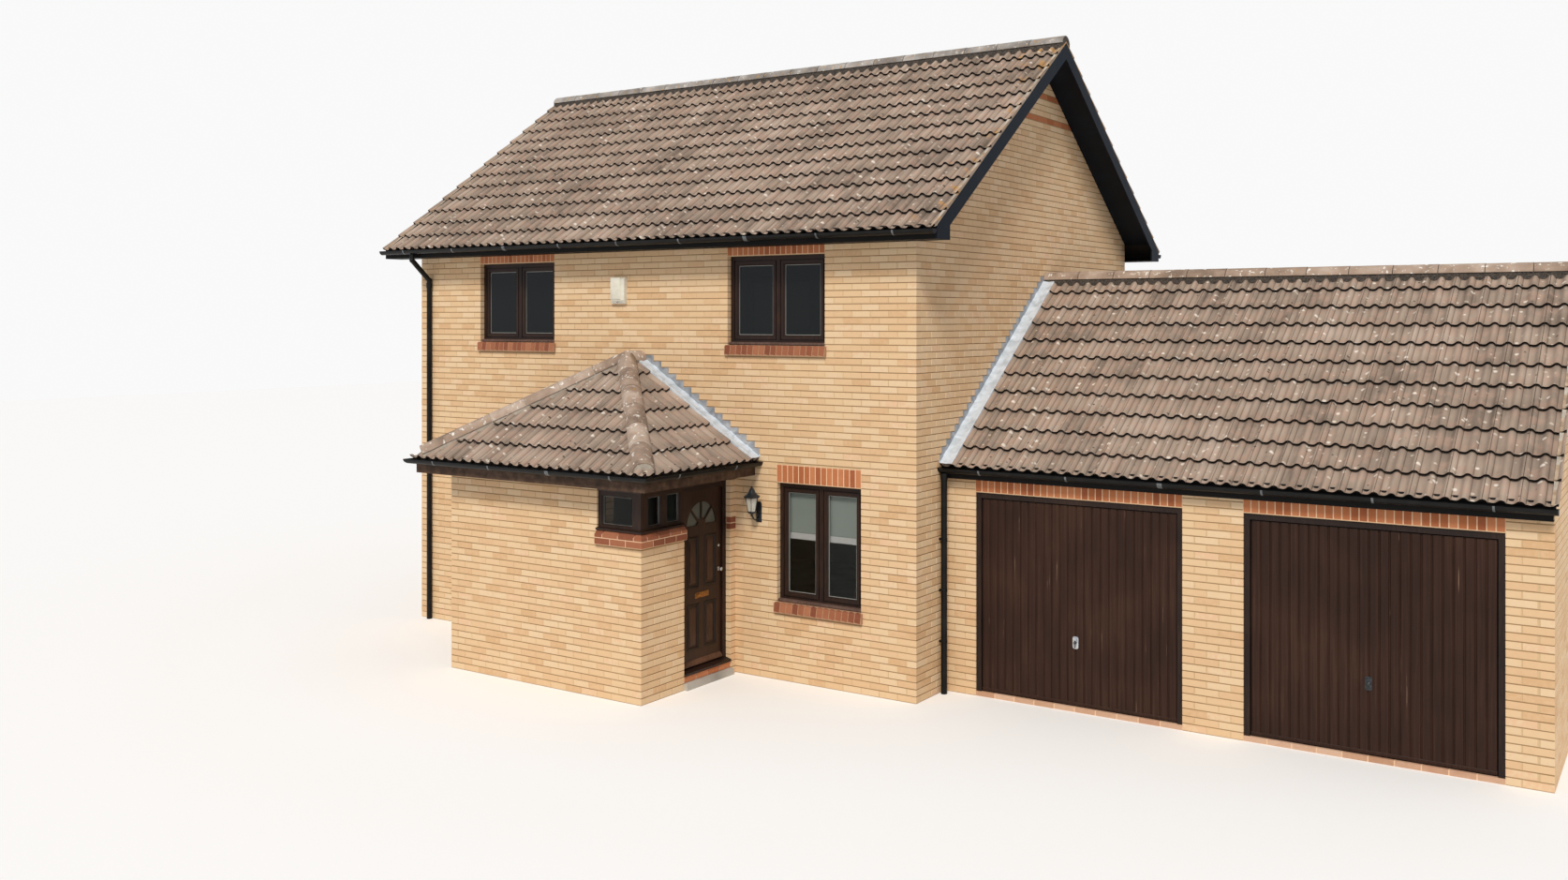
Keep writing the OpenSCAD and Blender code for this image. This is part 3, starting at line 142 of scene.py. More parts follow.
# the rooms' inner faces are painted plaster; each room is (middle, half width) along x, y and z
HOUSE_ROOM = ((0.0, 3.61), (0.0, 2.88), (4.0, 5.0))
PORCH_ROOM = ((0.04, 1.18), (-3.7, 0.88), (1.0, 1.8))
rooms = []
for spans in (HOUSE_ROOM, PORCH_ROOM):
    inside = [add("Math", {0: (where, axis), 1: middle, 2: half}, operation="COMPARE")
              for axis, (middle, half) in zip("XYZ", spans)]
    flat = add("Math", {0: inside[0], 1: inside[1]}, operation="MULTIPLY")
    rooms.append(add("Math", {0: flat, 1: inside[2]}, operation="MULTIPLY"))
indoors = add("Math", {0: rooms[0], 1: rooms[1]}, operation="MAXIMUM")
wall = add("Mix", {"Factor": indoors, "A": tint, "B": linear("#d9d3c6")}, data_type="RGBA")
plug(shader, {"Base Color": wall, "Normal": bump})
finish_nodes(mortar, "front_wall_left", "front_wall_right", "front_wall_upper", "back_wall",
             "left_gable_wall", "right_gable_wall", "porch_front_wall", "porch_left_wall", "porch_side_wall",
             "garage_piers", "garage_lintel", "garage_back_wall", "garage_end_wall")


# Facing bricks: buff wire-cut clay, 215 x 102.5 x 65 mm, laid in stretcher bond with 10 mm joints.
# Each course breaks joint by half a brick, turns the corners with a brick's end, and is cut at openings
# and up the gables' slopes. The tones run from cream to burnt orange, brick by brick.

BRICK = Vector((0.215, 0.1025, 0.065))
JOINT = 0.010
COURSE = BRICK.z + JOINT
HALF_UNIT = (BRICK.x + JOINT) / 2
PROUD = 0.004
JAMB_PROUD = 0.003
BRICK_DEPTH = 0.111
LEAST_CUT = 0.025


def new_piece(name, vertices, faces, material=None, smooth=False):
    """A mesh object at the origin, in the scene."""
    mesh = bpy.data.meshes.new(name)
    mesh.from_pydata([tuple(v) for v in vertices], [], faces)
    mesh.validate()
    mesh.update()
    if smooth:
        mesh.shade_smooth()
    if material:
        mesh.materials.append(material)
    piece = bpy.data.objects.new(name, mesh)
    bpy.context.scene.collection.objects.link(piece)
    return piece


def fit(piece, body, slot, *replaced):
    """Makes a piece ride on a body, and hides the CAD nodes that it stands for. slot is not used."""
    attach(piece, body)
    if replaced:
        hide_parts(*replaced)


def new_tree(name, **kinds):
    """An empty Geometry Nodes tree with named inputs, as (tree, adder, input node)."""
    tree = bpy.data.node_groups.new(name, "GeometryNodeTree")
    tree.interface.new_socket("Geometry", in_out="INPUT", socket_type="NodeSocketGeometry")
    for key, kind in kinds.items():
        tree.interface.new_socket(key, in_out="INPUT", socket_type="NodeSocket" + kind)
    tree.interface.new_socket("Geometry", in_out="OUTPUT", socket_type="NodeSocketGeometry")
    add = adder(tree)
    return tree, add, add("NodeGroupInput")


def end_tree(add, source, last):
    """Ends a tree in Realize Instances and Set Material."""
    real = add("GeometryNodeRealizeInstances", {"Geometry": last})
    done = add("GeometryNodeSetMaterial", {"Geometry": real, "Material": (source, "Finish")})
    add("NodeGroupOutput", {"Geometry": done})


def grow(piece, tree, **values):
    """Runs a tree over a piece's mesh and keeps the result as its plain mesh."""
    modifier = piece.modifiers.new("grow", "NODES")
    modifier.node_group = tree
    for item in tree.interface.items_tree:
        if item.in_out == "INPUT" and item.name in values:
            modifier[item.identifier] = values[item.name]
    graph = bpy.context.evaluated_depsgraph_get()
    mesh = bpy.data.meshes.new_from_object(
        piece.evaluated_get(graph), preserve_all_data_layers=True, depsgraph=graph)
    piece.modifiers.clear()
    spent = piece.data
    piece.data = mesh
    mesh.name = piece.name
    bpy.data.meshes.remove(spent)


def fired_clay(name, tones, speck, fleck_share):
    """Wire-cut clay: matt, sandy, each brick its own tone, with darker flecks 4 to 10 mm across."""
    material, add, shader, place = start_material(name, Roughness=0.88)
    tone = add("Attribute", attribute_name="tone")
    cloud = add("TexNoise", {"Vector": place, "Scale": 22.0, "Detail": 5.0})
    blend = add("Math", {0: cloud, 1: 0.34, 2: (tone, "Fac")}, operation="MULTIPLY_ADD")
    shift = add("Math", {0: blend, 1: 0.17}, operation="SUBTRACT")
    body = add("ValToRGB", {"Fac": shift}, tones)
    grain = add("TexNoise", {"Vector": place, "Scale": 130.0, "Detail": 3.0})
    fleck = add("ValToRGB", {"Fac": grain}, [(1 - fleck_share, 0.0), (1 - fleck_share + 0.07, 0.55)])
    mix = add("Mix", {"Factor": fleck, "A": body, "B": linear(speck)}, data_type="RGBA")
    bump = add("Bump", {"Strength": 0.45, "Distance": 0.002, "Height": grain})
    plug(shader, {"Base Color": mix, "Normal": bump})
    return material


buff_clay = fired_clay("buff_wire_cut_clay", [
    (0.0, "#cca67b"), (0.1, "#d2ae85"), (0.35, "#d6b48b"), (0.65, "#d8b991"), (0.92, "#dbbf9a"),
    (1.0, "#d9b48f")], "#b58a5f", 0.34)
red_clay = fired_clay("red_wire_cut_clay", [
    (0.0, "#97522f"), (0.3, "#aa6339"), (0.65, "#b56f45"), (1.0, "#bf7b51")], "#6f3a24", 0.32)
dark_red_clay = fired_clay("dark_red_brick_clay", [
    (0.0, "#7a4229"), (0.3, "#8a4f33"), (0.65, "#965b3d"), (1.0, "#a46a49")], "#592e1e", 0.32)


def brick_template():
    """One brick with its front arrises taken off, its face at y = 0 and its depth behind it."""
    arris = 0.003
    x, z = BRICK.x / 2, BRICK.z / 2
    front = [(-x + arris, 0, -z + arris), (x - arris, 0, -z + arris), (x - arris, 0, z - arris),
             (-x + arris, 0, z - arris)]
    rim = [(-x, arris, -z), (x, arris, -z), (x, arris, z), (-x, arris, z)]
    back = [(a, BRICK.y, c) for a, b, c in rim]
    faces = [(0, 1, 2, 3), (11, 10, 9, 8)]
    for first in (0, 4):
        faces += [(first + i, first + 4 + i, first + 4 + (i + 1) % 4, first + (i + 1) % 4) for i in range(4)]
    brick = new_piece("brick_template", front + rim + back, faces)
    bpy.context.scene.collection.objects.unlink(brick)
    return brick


# Bricks on points: each point holds its brick's size and turn, and gets a tone and a slight skew
brick_courses, add, source = new_tree("brick_courses", Brick="Object", Skew="Float", Seed="Int",
                                      Finish="Material")
info = add("GeometryNodeObjectInfo", {"Object": (source, "Brick")})
size = add("GeometryNodeInputNamedAttribute", {"Name": "brick_size"}, data_type="FLOAT_VECTOR")
turn = add("GeometryNodeInputNamedAttribute", {"Name": "brick_turn"}, data_type="FLOAT_VECTOR")
least = add("Math", {0: (source, "Skew"), 1: -1.0}, operation="MULTIPLY")
skew = add("FunctionNodeRandomValue", {"Min": least, "Max": (source, "Skew"), "Seed": (source, "Seed")})
skew_turn = add("CombineXYZ", {"X": skew, "Z": skew})
whole_turn = add("VectorMath", {0: turn, 1: skew_turn}, operation="ADD")
bricks = add("GeometryNodeInstanceOnPoints", {"Points": (source, "Geometry"),
                                              "Instance": (info, "Geometry"), "Rotation": whole_turn,
                                              "Scale": size})
tone = add("FunctionNodeRandomValue", {"Min": 0.0, "Max": 1.0, "Seed": (source, "Seed")})
toned = add("GeometryNodeStoreNamedAttribute", {"Geometry": bricks, "Name": "tone", "Value": tone},
            domain="INSTANCE")
end_tree(add, source, toned)


def set_bricks(name, places, material, slot, seed, skew=0.0035):
    """Sets bricks at places: (middle of the face, turn about Z, (length, depth, height), tilt)."""
    piece = new_piece(name, [p[0] for p in places], [])
    for key, values in (("brick_size", [[s / b for s, b in zip(p[2], BRICK)] for p in places]),
                        ("brick_turn", [[0.0, p[3] if len(p) > 3 else 0.0, p[1]] for p in places])):
        held = piece.data.attributes.new(key, "FLOAT_VECTOR", "POINT")
        held.data.foreach_set("vector", np.array(values, dtype=np.float32).ravel())
    template = brick_template()
    grow(piece, brick_courses, Brick=template, Skew=skew, Seed=seed, Finish=material)
    bpy.data.objects.remove(template)
    fit(piece, "house", slot)


class WallFace:
    """One face of brickwork, laid along a line on the ground from its left end, seen from outside. pins are
    the places along its own axis, x or y, where bricks have to end."""

    def __init__(self, left, right, pins=(), left_end="corner", right_end="corner", first=0):
        self.start = Vector(left).to_3d()
        line = Vector(right).to_3d() - self.start
        self.length = line.length
        self.along = line.normalized()
        self.out = Vector((self.along.y, -self.along.x, 0.0))
        self.turn = math.atan2(self.along.y, self.along.x)
        self.ends = (left_end, right_end)
        self.first = first
        # half bricks between the pinned places, an even number in all
        self.pins = sorted({0.0, self.length, *self.span(*pins)})
        gaps = [b - a for a, b in zip(self.pins, self.pins[1:])]
        counts = [max(1, round(gap / HALF_UNIT)) for gap in gaps]
        if sum(counts) % 2:
            widest = max(range(len(gaps)), key=lambda i: gaps[i])
            counts[widest] += 1 if gaps[widest] / HALF_UNIT > counts[widest] else -1
        self.marks = [sum(counts[:i]) for i in range(len(self.pins))]

    def span(self, *places):
        """How far along the face these places are, from its left end."""
        axis = 0 if abs(self.along.x) > 0.5 else 1
        return sorted(abs(place - self.start[axis]) for place in places)

    def split(self, ends, cuts):
        """The stretches of one brick that are left beside the openings, run 3 mm into their jambs."""
        stretches = [ends]
        for low, high in cuts:
            kept = []
            for a, b in stretches:
                if b < low - JOINT or a > high + JOINT:
                    kept.append((a, b))
                    continue
                kept += [(a, low + JAMB_PROUD)] * int(a < low) + [(high - JAMB_PROUD, b)] * int(b > high)
            stretches = kept
        return [(a, b) for a, b in stretches if b - a > LEAST_CUT]

    def bricks(self, top, openings=(), rake=None, red_courses=()):
        """Places for bricks, as (buff, red). openings are (left, right, low, high) along the face."""
        buff, red = [], []
        last = self.marks[-1]
        for k in range(int(top / COURSE + 1)):
            low = k * COURSE + JOINT / 2
            odd = (k + self.first) % 2
            cuts = [(a, b) for a, b, z0, z1 in openings if z0 < low + BRICK.z / 2 < z1]
            for i in range(-odd, last, 2):
                units = (max(i, 0), min(i + 2, last))
                at_end = [units[0] == 0, units[1] == last]
                if odd and any(at and end == "corner" for at, end in zip(at_end, self.ends)):
                    continue
                reach = [PROUD if at and end == "corner" else 0.0 if at else -JOINT / 2
                         for at, end in zip(at_end, self.ends)]
                a, b = np.interp(units, self.marks, self.pins)
                for left, right in self.split((a - reach[0], b + reach[1]), cuts):
                    if rake:
                        left, right = max(left, rake(low)[0]), min(right, rake(low)[1])
                    if right - left < LEAST_CUT:
                        continue
                    middle = self.start + self.along * ((left + right) / 2) + self.out * PROUD
                    middle.z = low + BRICK.z / 2
                    place = (middle, self.turn, (right - left, BRICK_DEPTH, BRICK.z))
                    (red if k in red_courses else buff).append(place)
        return buff, red

    def soldiers(self, left, right, low, high):
        """Bricks on end side by side, for the course over an opening."""
        count = round((right - left) / COURSE)
        pitch = (right - left) / count
        places = []
        for i in range(count):
            middle = self.start + self.along * (left + (i + 0.5) * pitch) + self.out * PROUD
            middle.z = (low + high) / 2
            places.append((middle, self.turn, (pitch - JOINT, BRICK_DEPTH, high - low)))
        return places


# Corners of the three blocks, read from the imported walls
left_x, right_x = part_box("left_gable_wall")[0][0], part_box("right_gable_wall")[1][0]
front_y, back_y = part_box("front_wall_upper")[0][1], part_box("back_wall")[1][1]
porch_low, porch_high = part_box("porch_front_wall")
garage_low, garage_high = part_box("garage_lintel")
garage_back_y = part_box("garage_back_wall")[1][1]

# Openings are pairs along a wall's axis, cuts are pairs of heights, PAST_WALL is beyond every wall, and
# RED_BANDS are the two courses that run red across each gable
WALL_TOP, SOFFIT, GARAGE_SOFFIT, PORCH_SOFFIT = 5.0, 4.94, 2.36, 2.31
UPPER, LOWER = [(-2.725, -1.375), (1.375, 2.725)], (2.075, 3.195)
UPPER_CUT, LOWER_CUT, PORCH_ROOF_CUT = (3.69, 5.4), (0.77, 2.46), (0.0, 2.7)
DOORWAYS = [(4.25, 6.53), (7.125, 9.405)]
POST_X, PORCH_SILL, PORCH_HEAD = 0.868, 1.672, 2.25
PORCH_DOOR = (-4.112, -3.248)
PAST_WALL = 9.0
MAIN_PITCH, GARAGE_PITCH = 35.5, 36.0
RED_BANDS = {88, 92}


def gable_rake(crown, pitch, middle):
    """The two ends of a gable's brickwork at a height, under a ridge at a middle distance."""
    def ends(height):
        half = (crown - height) / math.tan(math.radians(pitch))
        return middle - half, middle + half
    return ends


front = WallFace((left_x, front_y), (right_x, front_y), [x for pair in (*UPPER, LOWER) for x in pair])
front_cuts = [(*front.span(*pair), *UPPER_CUT) for pair in UPPER]
front_cuts += [(*front.span(*LOWER), *LOWER_CUT),
               (*front.span(porch_low[0], porch_high[0]), *PORCH_ROOF_CUT)]
back = WallFace((right_x, back_y), (left_x, back_y), [x for pair in UPPER for x in pair])
back_cuts = [(*back.span(*pair), *cut) for pair in UPPER for cut in (UPPER_CUT, LOWER_CUT)]
gable_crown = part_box("right_gable_wall")[1][2]
right_gable = WallFace((right_x, front_y), (right_x, back_y), first=1)
left_gable = WallFace((left_x, back_y), (left_x, front_y), first=1)
rake = gable_rake(gable_crown, MAIN_PITCH, (back_y - front_y) / 2)

for name, face, seed, top, cuts, ends in (
        ("front_bricks", front, 3, WALL_TOP, front_cuts, None),
        ("back_bricks", back, 4, WALL_TOP, back_cuts, None),
        ("right_gable_bricks", right_gable, 5, gable_crown, [], rake),
        ("left_gable_bricks", left_gable, 6, gable_crown, [], rake)):
    places, red = face.bricks(top, cuts, ends, RED_BANDS if ends else ())
    set_bricks(name, places, buff_clay, "buff_brick", seed)
    if red:
        set_bricks(name.replace("bricks", "red_bands"), red, red_clay, "red_brick", seed)

# The porch stands on its own three walls, and the garage on piers one brick thick
porch_front = WallFace((porch_low[0], porch_low[1]), (porch_high[0], porch_low[1]), (POST_X,))
porch_right = WallFace((porch_high[0], porch_low[1]), (porch_high[0], front_y), PORCH_DOOR,
                       right_end="butt", first=1)
porch_left = WallFace((porch_low[0], front_y), (porch_low[0], porch_low[1]), left_end="butt", first=1)
door_span = porch_right.span(*PORCH_DOOR)
porch_places = porch_front.bricks(PORCH_SOFFIT, [(*porch_front.span(POST_X), PAST_WALL, PORCH_SILL,
                                                  PAST_WALL)])[0]
porch_places += porch_right.bricks(PORCH_HEAD, [(-PAST_WALL, door_span[0], PORCH_SILL, PAST_WALL),
                                                (*door_span, 0.0, PAST_WALL)])[0]
porch_places += porch_left.bricks(PORCH_SOFFIT)[0]
set_bricks("porch_bricks", porch_places, buff_clay, "buff_brick", 7)

garage_x, garage_end_x = right_x, garage_high[0]
garage_front = WallFace((garage_x, garage_low[1]), (garage_end_x, garage_low[1]),
                        [x for pair in DOORWAYS for x in pair], left_end="butt")
garage_end = WallFace((garage_end_x, garage_low[1]), (garage_end_x, garage_back_y), first=1)
garage_back = WallFace((garage_end_x, garage_back_y), (garage_x, garage_back_y), right_end="butt")
garage_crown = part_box("garage_end_wall")[1][2]
garage_rake = gable_rake(garage_crown, GARAGE_PITCH, (garage_back_y - garage_low[1]) / 2)
garage_cuts = [(*garage_front.span(*pair), 0.0, PAST_WALL) for pair in DOORWAYS]
garage_places = garage_front.bricks(GARAGE_SOFFIT, garage_cuts)[0]
garage_places += garage_end.bricks(garage_crown, rake=garage_rake)[0]
garage_places += garage_back.bricks(GARAGE_SOFFIT)[0]
set_bricks("garage_bricks", garage_places, buff_clay, "buff_brick", 8)


# Red facing bricks: the same clay fired harder, standing on end over each opening and on edge as the
# sills, the porch band, the front step and the garage thresholds.
# Each soldier course is (wall, left, right, low, high), with its top behind the soffit or the wall's bricks
UPPER_HEAD, LOWER_HEAD, GARAGE_HEAD = (4.845, SOFFIT + 0.04), (2.25, 2.455), (2.225, GARAGE_SOFFIT + 0.03)
soldier_spans = [(wall, *wall.span(*pair), *UPPER_HEAD) for wall in (front, back) for pair in UPPER]
soldier_spans.append((front, *front.span(*LOWER), *LOWER_HEAD))
soldier_spans += [(back, *back.span(*pair), *LOWER_HEAD) for pair in UPPER]
soldier_spans += [(garage_front, *garage_front.span(*pair), *GARAGE_HEAD) for pair in DOORWAYS]
set_bricks("soldier_courses", [place for wall, *span in soldier_spans for place in wall.soldiers(*span)],
           red_clay, "red_brick", 11)


def on_edge(wall, opening, low):
    """Places for a sill's bricks, set on edge in a row with their ends out and their tops weathered."""
    left, right = wall.span(*opening)
    left, right = left - SILL_OVER, right + SILL_OVER
    count = round((right - left) / SILL_PITCH)
    step = (right - left) / count
    places = []
    for i in range(count):
        middle = wall.start + wall.along * (left + (i + 0.5) * step) + wall.out * (SILL_PROUD + PROUD)
        middle.z = low + (SILL_H + SILL_RISE) / 2
        places.append((middle, wall.turn, (step - JOINT, SILL_DEEP, SILL_H + SILL_RISE), SILL_TILT))
    return places


def mottled(name, stops, scale, detail=2.0, warp=0.0, rough=None, bump=None, **shader_values):
    """A finish clouded by one noise, with so many patches to a metre. rough is the range that its roughness
    runs over, and bump is (strength, height, scale and detail of a finer noise, if it has its own)."""
    material, add, shader, place = start_material(name, **shader_values)
    cloud = add("TexNoise", {"Vector": place, "Scale": scale, "Detail": detail, "Distortion": warp})
    plug(shader, {"Base Color": add("ValToRGB", {"Fac": cloud}, stops)})
    if rough:
        worn = add("MapRange", {"Value": cloud, "To Min": rough[0], "To Max": rough[1]})
        plug(shader, {"Roughness": worn})
    if bump:
        strength, height, *finer = bump
        relief = cloud
        if finer:
            relief = add("TexNoise", {"Vector": place, "Scale": finer[0], "Detail": finer[1]})
        plug(shader, {"Normal": add("Bump", {"Strength": strength, "Distance": height, "Height": relief})})
    return material


# Their joints are flush and sandy, with grit of 3 to 6 mm, and paler than the wall's. On the sills they
# are drawn darker, with painted shade for the shadow in their joints
pale_mortar = mottled("pale_flush_mortar", [(0.3, "#d3ab86"), (0.7, "#e6c4a1")], 160.0, 3.0, Roughness=0.95)
finish_nodes(pale_mortar, "porch_sill_band", "garage_thresholds")
finish_nodes(mottled("dirty_sill_mortar", [(0.3, "#9c7458"), (0.7, "#b48a6a")], 160.0, 3.0, Roughness=0.95),
             "window_sills")
SILL_PITCH, SILL_DEEP, SILL_H, SILL_RISE = 0.0815, 0.106, 0.1, 0.004
SILL_PROUD, SILL_OVER, SILL_TILT = 0.038, 0.016, math.radians(7.0)
UPPER_SILL, LOWER_SILL = 3.698, 0.778
sills = [(wall, pair, UPPER_SILL) for wall in (front, back) for pair in UPPER]
sills += [(front, LOWER, LOWER_SILL)] + [(back, pair, LOWER_SILL) for pair in UPPER]
sill_places = [place for sill in sills for place in on_edge(*sill)]
set_bricks("brick_sills", sill_places, dark_red_clay, "red_brick", 12)


class Solids:
    """Closed solids that are gathered into one piece, each with its own tone."""

    def __init__(self, seed=1):
        self.vertices, self.faces, self.tones = [], [], []
        self.random = random.Random(seed)

    def add(self, vertices, faces):
        first = len(self.vertices)
        self.vertices += [tuple(v) for v in vertices]
        self.faces += [tuple(first + i for i in face) for face in faces]
        self.tones += [self.random.random()] * len(faces)

    def loft(self, rings, closed=False):
        """Rings of as many points each, joined side by side, with plain ends unless the loop is closed."""
        n, count = len(rings[0]), len(rings)
        faces = []
        for k in range(count if closed else count - 1):
            a, b = k * n, (k + 1) % count * n
            faces += [(a + i, a + (i + 1) % n, b + (i + 1) % n, b + i) for i in range(n)]
        if not closed:
            faces += [tuple(range(n)), tuple(range((count - 1) * n, count * n))]
        self.add([p for ring in rings for p in ring], faces)

    def prism(self, outline, along):
        points = [Vector(p) for p in outline]
        self.loft([points, [p + Vector(along) for p in points]])

    def box(self, low, high):
        x0, y0, z0 = low
        self.prism([(x0, y0, z0), (x0, high[1], z0), (x0, high[1], high[2]), (x0, y0, high[2])],
                   (high[0] - x0, 0, 0))

    def done(self, name, material, body, slot, *replaced):
        """Makes the piece, with its shading smooth except over edges sharper than 35 degrees."""
        piece = new_piece(name, self.vertices, self.faces, material, smooth=True)
        tone = piece.data.attributes.new("tone", "FLOAT", "FACE")
        tone.data.foreach_set("value", self.tones)
        mesh = bmesh.new()
        mesh.from_mesh(piece.data)
        bmesh.ops.recalc_face_normals(mesh, faces=mesh.faces)
        for edge in mesh.edges:
            edge.smooth = edge.calc_face_angle(0.0) < math.radians(35.0)
        mesh.to_mesh(piece.data)
        mesh.free()
        fit(piece, body, slot, *replaced)
        return piece


pointing = Solids()
for wall, left, right, low, high in soldier_spans:
    foot = wall.start + wall.along * left - wall.out * 0.002 + Vector((0, 0, low))
    side, rise = wall.along * (right - left), Vector((0, 0, high - low))
    pointing.prism([foot, foot + side, foot + side + rise, foot + rise], wall.out * (PROUD + 0.0008))
pointing.done("soldier_pointing", pale_mortar, "house", "buff_brick")

# The porch band: a course of stretchers, then plinth bricks with weathered tops, mitred at the corner
band_low, band_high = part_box("porch_sill_band")
band_out = band_high[0] - porch_high[0]
band = Solids(13)
front_stops = np.linspace(band_low[0], band_high[0], 4)
side_stops = np.linspace(band_low[1], band_high[1], 5)
# each course's outline is (depth behind its face, height)
STRETCHER_Z, PLINTH_Z, BAND_DEEP = band_low[2] + 0.004, band_low[2] + 0.079, 0.1
BAND_COURSES = [
    [(0.0, STRETCHER_Z), (BAND_DEEP, STRETCHER_Z), (BAND_DEEP, STRETCHER_Z + BRICK.z),
     (0.0, STRETCHER_Z + BRICK.z)],
    [(0.0, PLINTH_Z), (BAND_DEEP, PLINTH_Z), (BAND_DEEP, band_high[2] + 0.001),
     (band_out, band_high[2] + 0.001), (0.0, band_high[2] - band_out + 0.001)]]
for row, outline in enumerate(BAND_COURSES):
    for stops, on_front in ((front_stops, True), (side_stops, False)):
        step = stops[1] - stops[0]
        cuts = [stops[0]] + [s + step / 2 * row for s in stops[:-1]][1 - row:] + [stops[-1]]
        for a, b in zip(cuts, cuts[1:]):
            ends = []
            for s, at_corner in ((a, not on_front and a == stops[0]), (b, on_front and b == stops[-1])):
                inward = JOINT / 2 * (1 if s == a else -1) * (not at_corner)
                over = PROUD / 2 * at_corner
                if on_front:
                    ends.append([(s + inward - d * at_corner + over, band_low[1] - PROUD / 2 + d, z)
                                 for d, z in outline])
                else:
                    ends.append([(band_high[0] + PROUD / 2 - d, s + inward + d * at_corner - over, z)
                                 for d, z in outline])
            band.loft(ends)
# Two red courses carry it on, flush, round the short pier beyond the door
for low in (STRETCHER_Z, PLINTH_Z):
    band.box((porch_high[0] - 0.0545, PORCH_DOOR[1] - 0.005, low),
             (porch_high[0] + 0.0055, front_y - 0.0015, low + BRICK.z))
band.done("porch_band_bricks", dark_red_clay, "house", "red_brick", "number_plaque")

# The step's bricks lie flat under the door sill, and paler ones make the garage thresholds
step_low, step_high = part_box("front_step")
length = (step_high[1] - step_low[1]) / 4
step_places = [((porch_high[0] + 0.004, step_low[1] + (i + 0.5) * length, step_high[2] - 0.037), math.pi / 2,
                (length - JOINT, 0.1, BRICK.z)) for i in range(4)]
set_bricks("front_step_bricks", step_places, red_clay, "red_brick", 14)
pale_red_clay = fired_clay("pale_red_paving_clay", [
    (0.0, "#b08466"), (0.35, "#c0997c"), (0.7, "#cba88d"), (1.0, "#b78b6e")], "#8a5f49", 0.3)
threshold_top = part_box("garage_thresholds")[1][2]
length = (DOORWAYS[0][1] - DOORWAYS[0][0]) / 10
threshold_places = [((a + (i + 0.5) * length, garage_low[1] - PROUD / 2, threshold_top / 2 + 0.0005), 0.0,
                     (length - JOINT, 0.1, threshold_top)) for a, _ in DOORWAYS for i in range(10)]
set_bricks("threshold_bricks", threshold_places, pale_red_clay, "red_brick", 15, skew=0.001)


# Windows: dark brown stained frames with two casements each and a throated timber sill, set back in the
# brick reveals. Each sash holds a sealed double pane on a satin spacer bar behind a chamfered bead.

def rectangle(corner, across, up, width, height, inset=0.0, off=0.0):
    """The corners of an upright rectangle, drawn in by an inset and stood off its face."""
    out = across.cross(up)
    return [corner + across * (a * width + (1 - 2 * a) * inset) + up * (b * height + (1 - 2 * b) * inset) +
            out * off for a, b in ((0, 0), (1, 0), (1, 1), (0, 1))]


def surround(solids, corner, across, up, width, height, profile):
    """A frame mitred round a rectangle. profile holds (inset, height off the face) points."""
    solids.loft([list(ring) for ring in zip(*[
        rectangle(corner, across, up, width, height, *point) for point in profile])], closed=True)


def solid_boxes(name):
    """The lowest and highest corners of each solid in a CAD node."""
    mesh = bmesh.new()
    mesh.from_mesh(nodes[name].data)
    bmesh.ops.remove_doubles(mesh, verts=mesh.verts, dist=1e-6)
    left, boxes = set(mesh.verts), []
    while left:
        found, edge = set(), [left.pop()]
        while edge:
            vertex = edge.pop()
            found.add(vertex)
            fresh = {e.other_vert(vertex) for e in vertex.link_edges} & left
            left -= fresh
            edge += fresh
        points = np.array([v.co for v in found])
        boxes.append((Vector(points.min(0)), Vector(points.max(0))))
    mesh.free()
    return sorted(boxes, key=lambda box: tuple(round(c, 3) for c in box[0]))


def facing(low, high):
    """A pane's lower left corner seen from outside, its across direction, width and height."""
    if high.x - low.x < high.y - low.y:
        return Vector((high.x, low.y, low.z)), Vector((0, 1, 0)), high.y - low.y, high.z - low.z
    if low.y < 0:
        return low.copy(), Vector((1, 0, 0)), high.x - low.x, high.z - low.z
    return Vector((high.x, high.y, low.z)), Vector((-1, 0, 0)), high.x - low.x, high.z - low.z


def stained_timber(name, tones, gloss, grain_mm=14.0):
    """Stained hardwood: upright grain some millimetres apart, worn paler in patches, under a satin coat."""
    material, add, shader, place = start_material(name, Roughness=gloss, Specular_IOR_Level=0.3)
    long = add("Mapping", {"Vector": place, "Scale": (1.0, 1.0, 0.07)})
    grain = add("TexNoise", {"Vector": long, "Scale": 1000.0 / grain_mm, "Detail": 5.0, "Distortion": 0.6})
    wear = add("TexNoise", {"Vector": place, "Scale": 2.3, "Detail": 4.0})
    mix = add("Mix", {"Factor": 0.4, "A": grain, "B": wear})
    tint = add("ValToRGB", {"Fac": mix}, [(0.34 + 0.11 * i, tone) for i, tone in enumerate(tones)])
    rough = add("MapRange", {"Value": grain, "To Min": gloss - 0.08, "To Max": gloss + 0.14})
    bump = add("Bump", {"Strength": 0.25, "Distance": 0.0015, "Height": grain})
    plug(shader, {"Base Color": tint, "Roughness": rough, "Normal": bump})
    return material


frame_stain = stained_timber("dark_brown_timber_stain", ["#170b07", "#21120b", "#2c190f", "#382215"], 0.46)
finish_nodes(frame_stain, "window_frames", "porch_window_frames")

# Sealed float glass, faintly green and slightly uneven in its reflections. Its dark, partly opaque coat is
# painted shade for the dim rooms behind; the ground-floor front panes are the clearest, and show the blinds
# behind them.
clear_glass, add, shader, place = start_material("clear_float_glass", Base_Color=linear("#0b100d"),
                                                 Roughness=0.03)
where = add("SeparateXYZ", {"Vector": place})
upper = add("Math", {0: (where, "Z"), 1: 3.0}, operation="GREATER_THAN")
behind = add("Math", {0: (where, "Y"), 1: 0.0}, operation="GREATER_THAN")
# painted shade: the upper and back panes are nearly opaque and near-black, for the dark rooms behind them
dim = add("Math", {0: upper, 1: behind}, operation="MAXIMUM")
cover = add("MapRange", {"Value": dim, "To Min": 0.25, "To Max": 0.82})
wave = add("TexNoise", {"Vector": place, "Scale": 1.3, "Detail": 1.0})
bump = add("Bump", {"Strength": 0.06, "Distance": 0.02, "Height": wave})
plug(shader, {"Alpha": cover, "Normal": bump})
finish_nodes(clear_glass, "window_glass", "porch_glass")

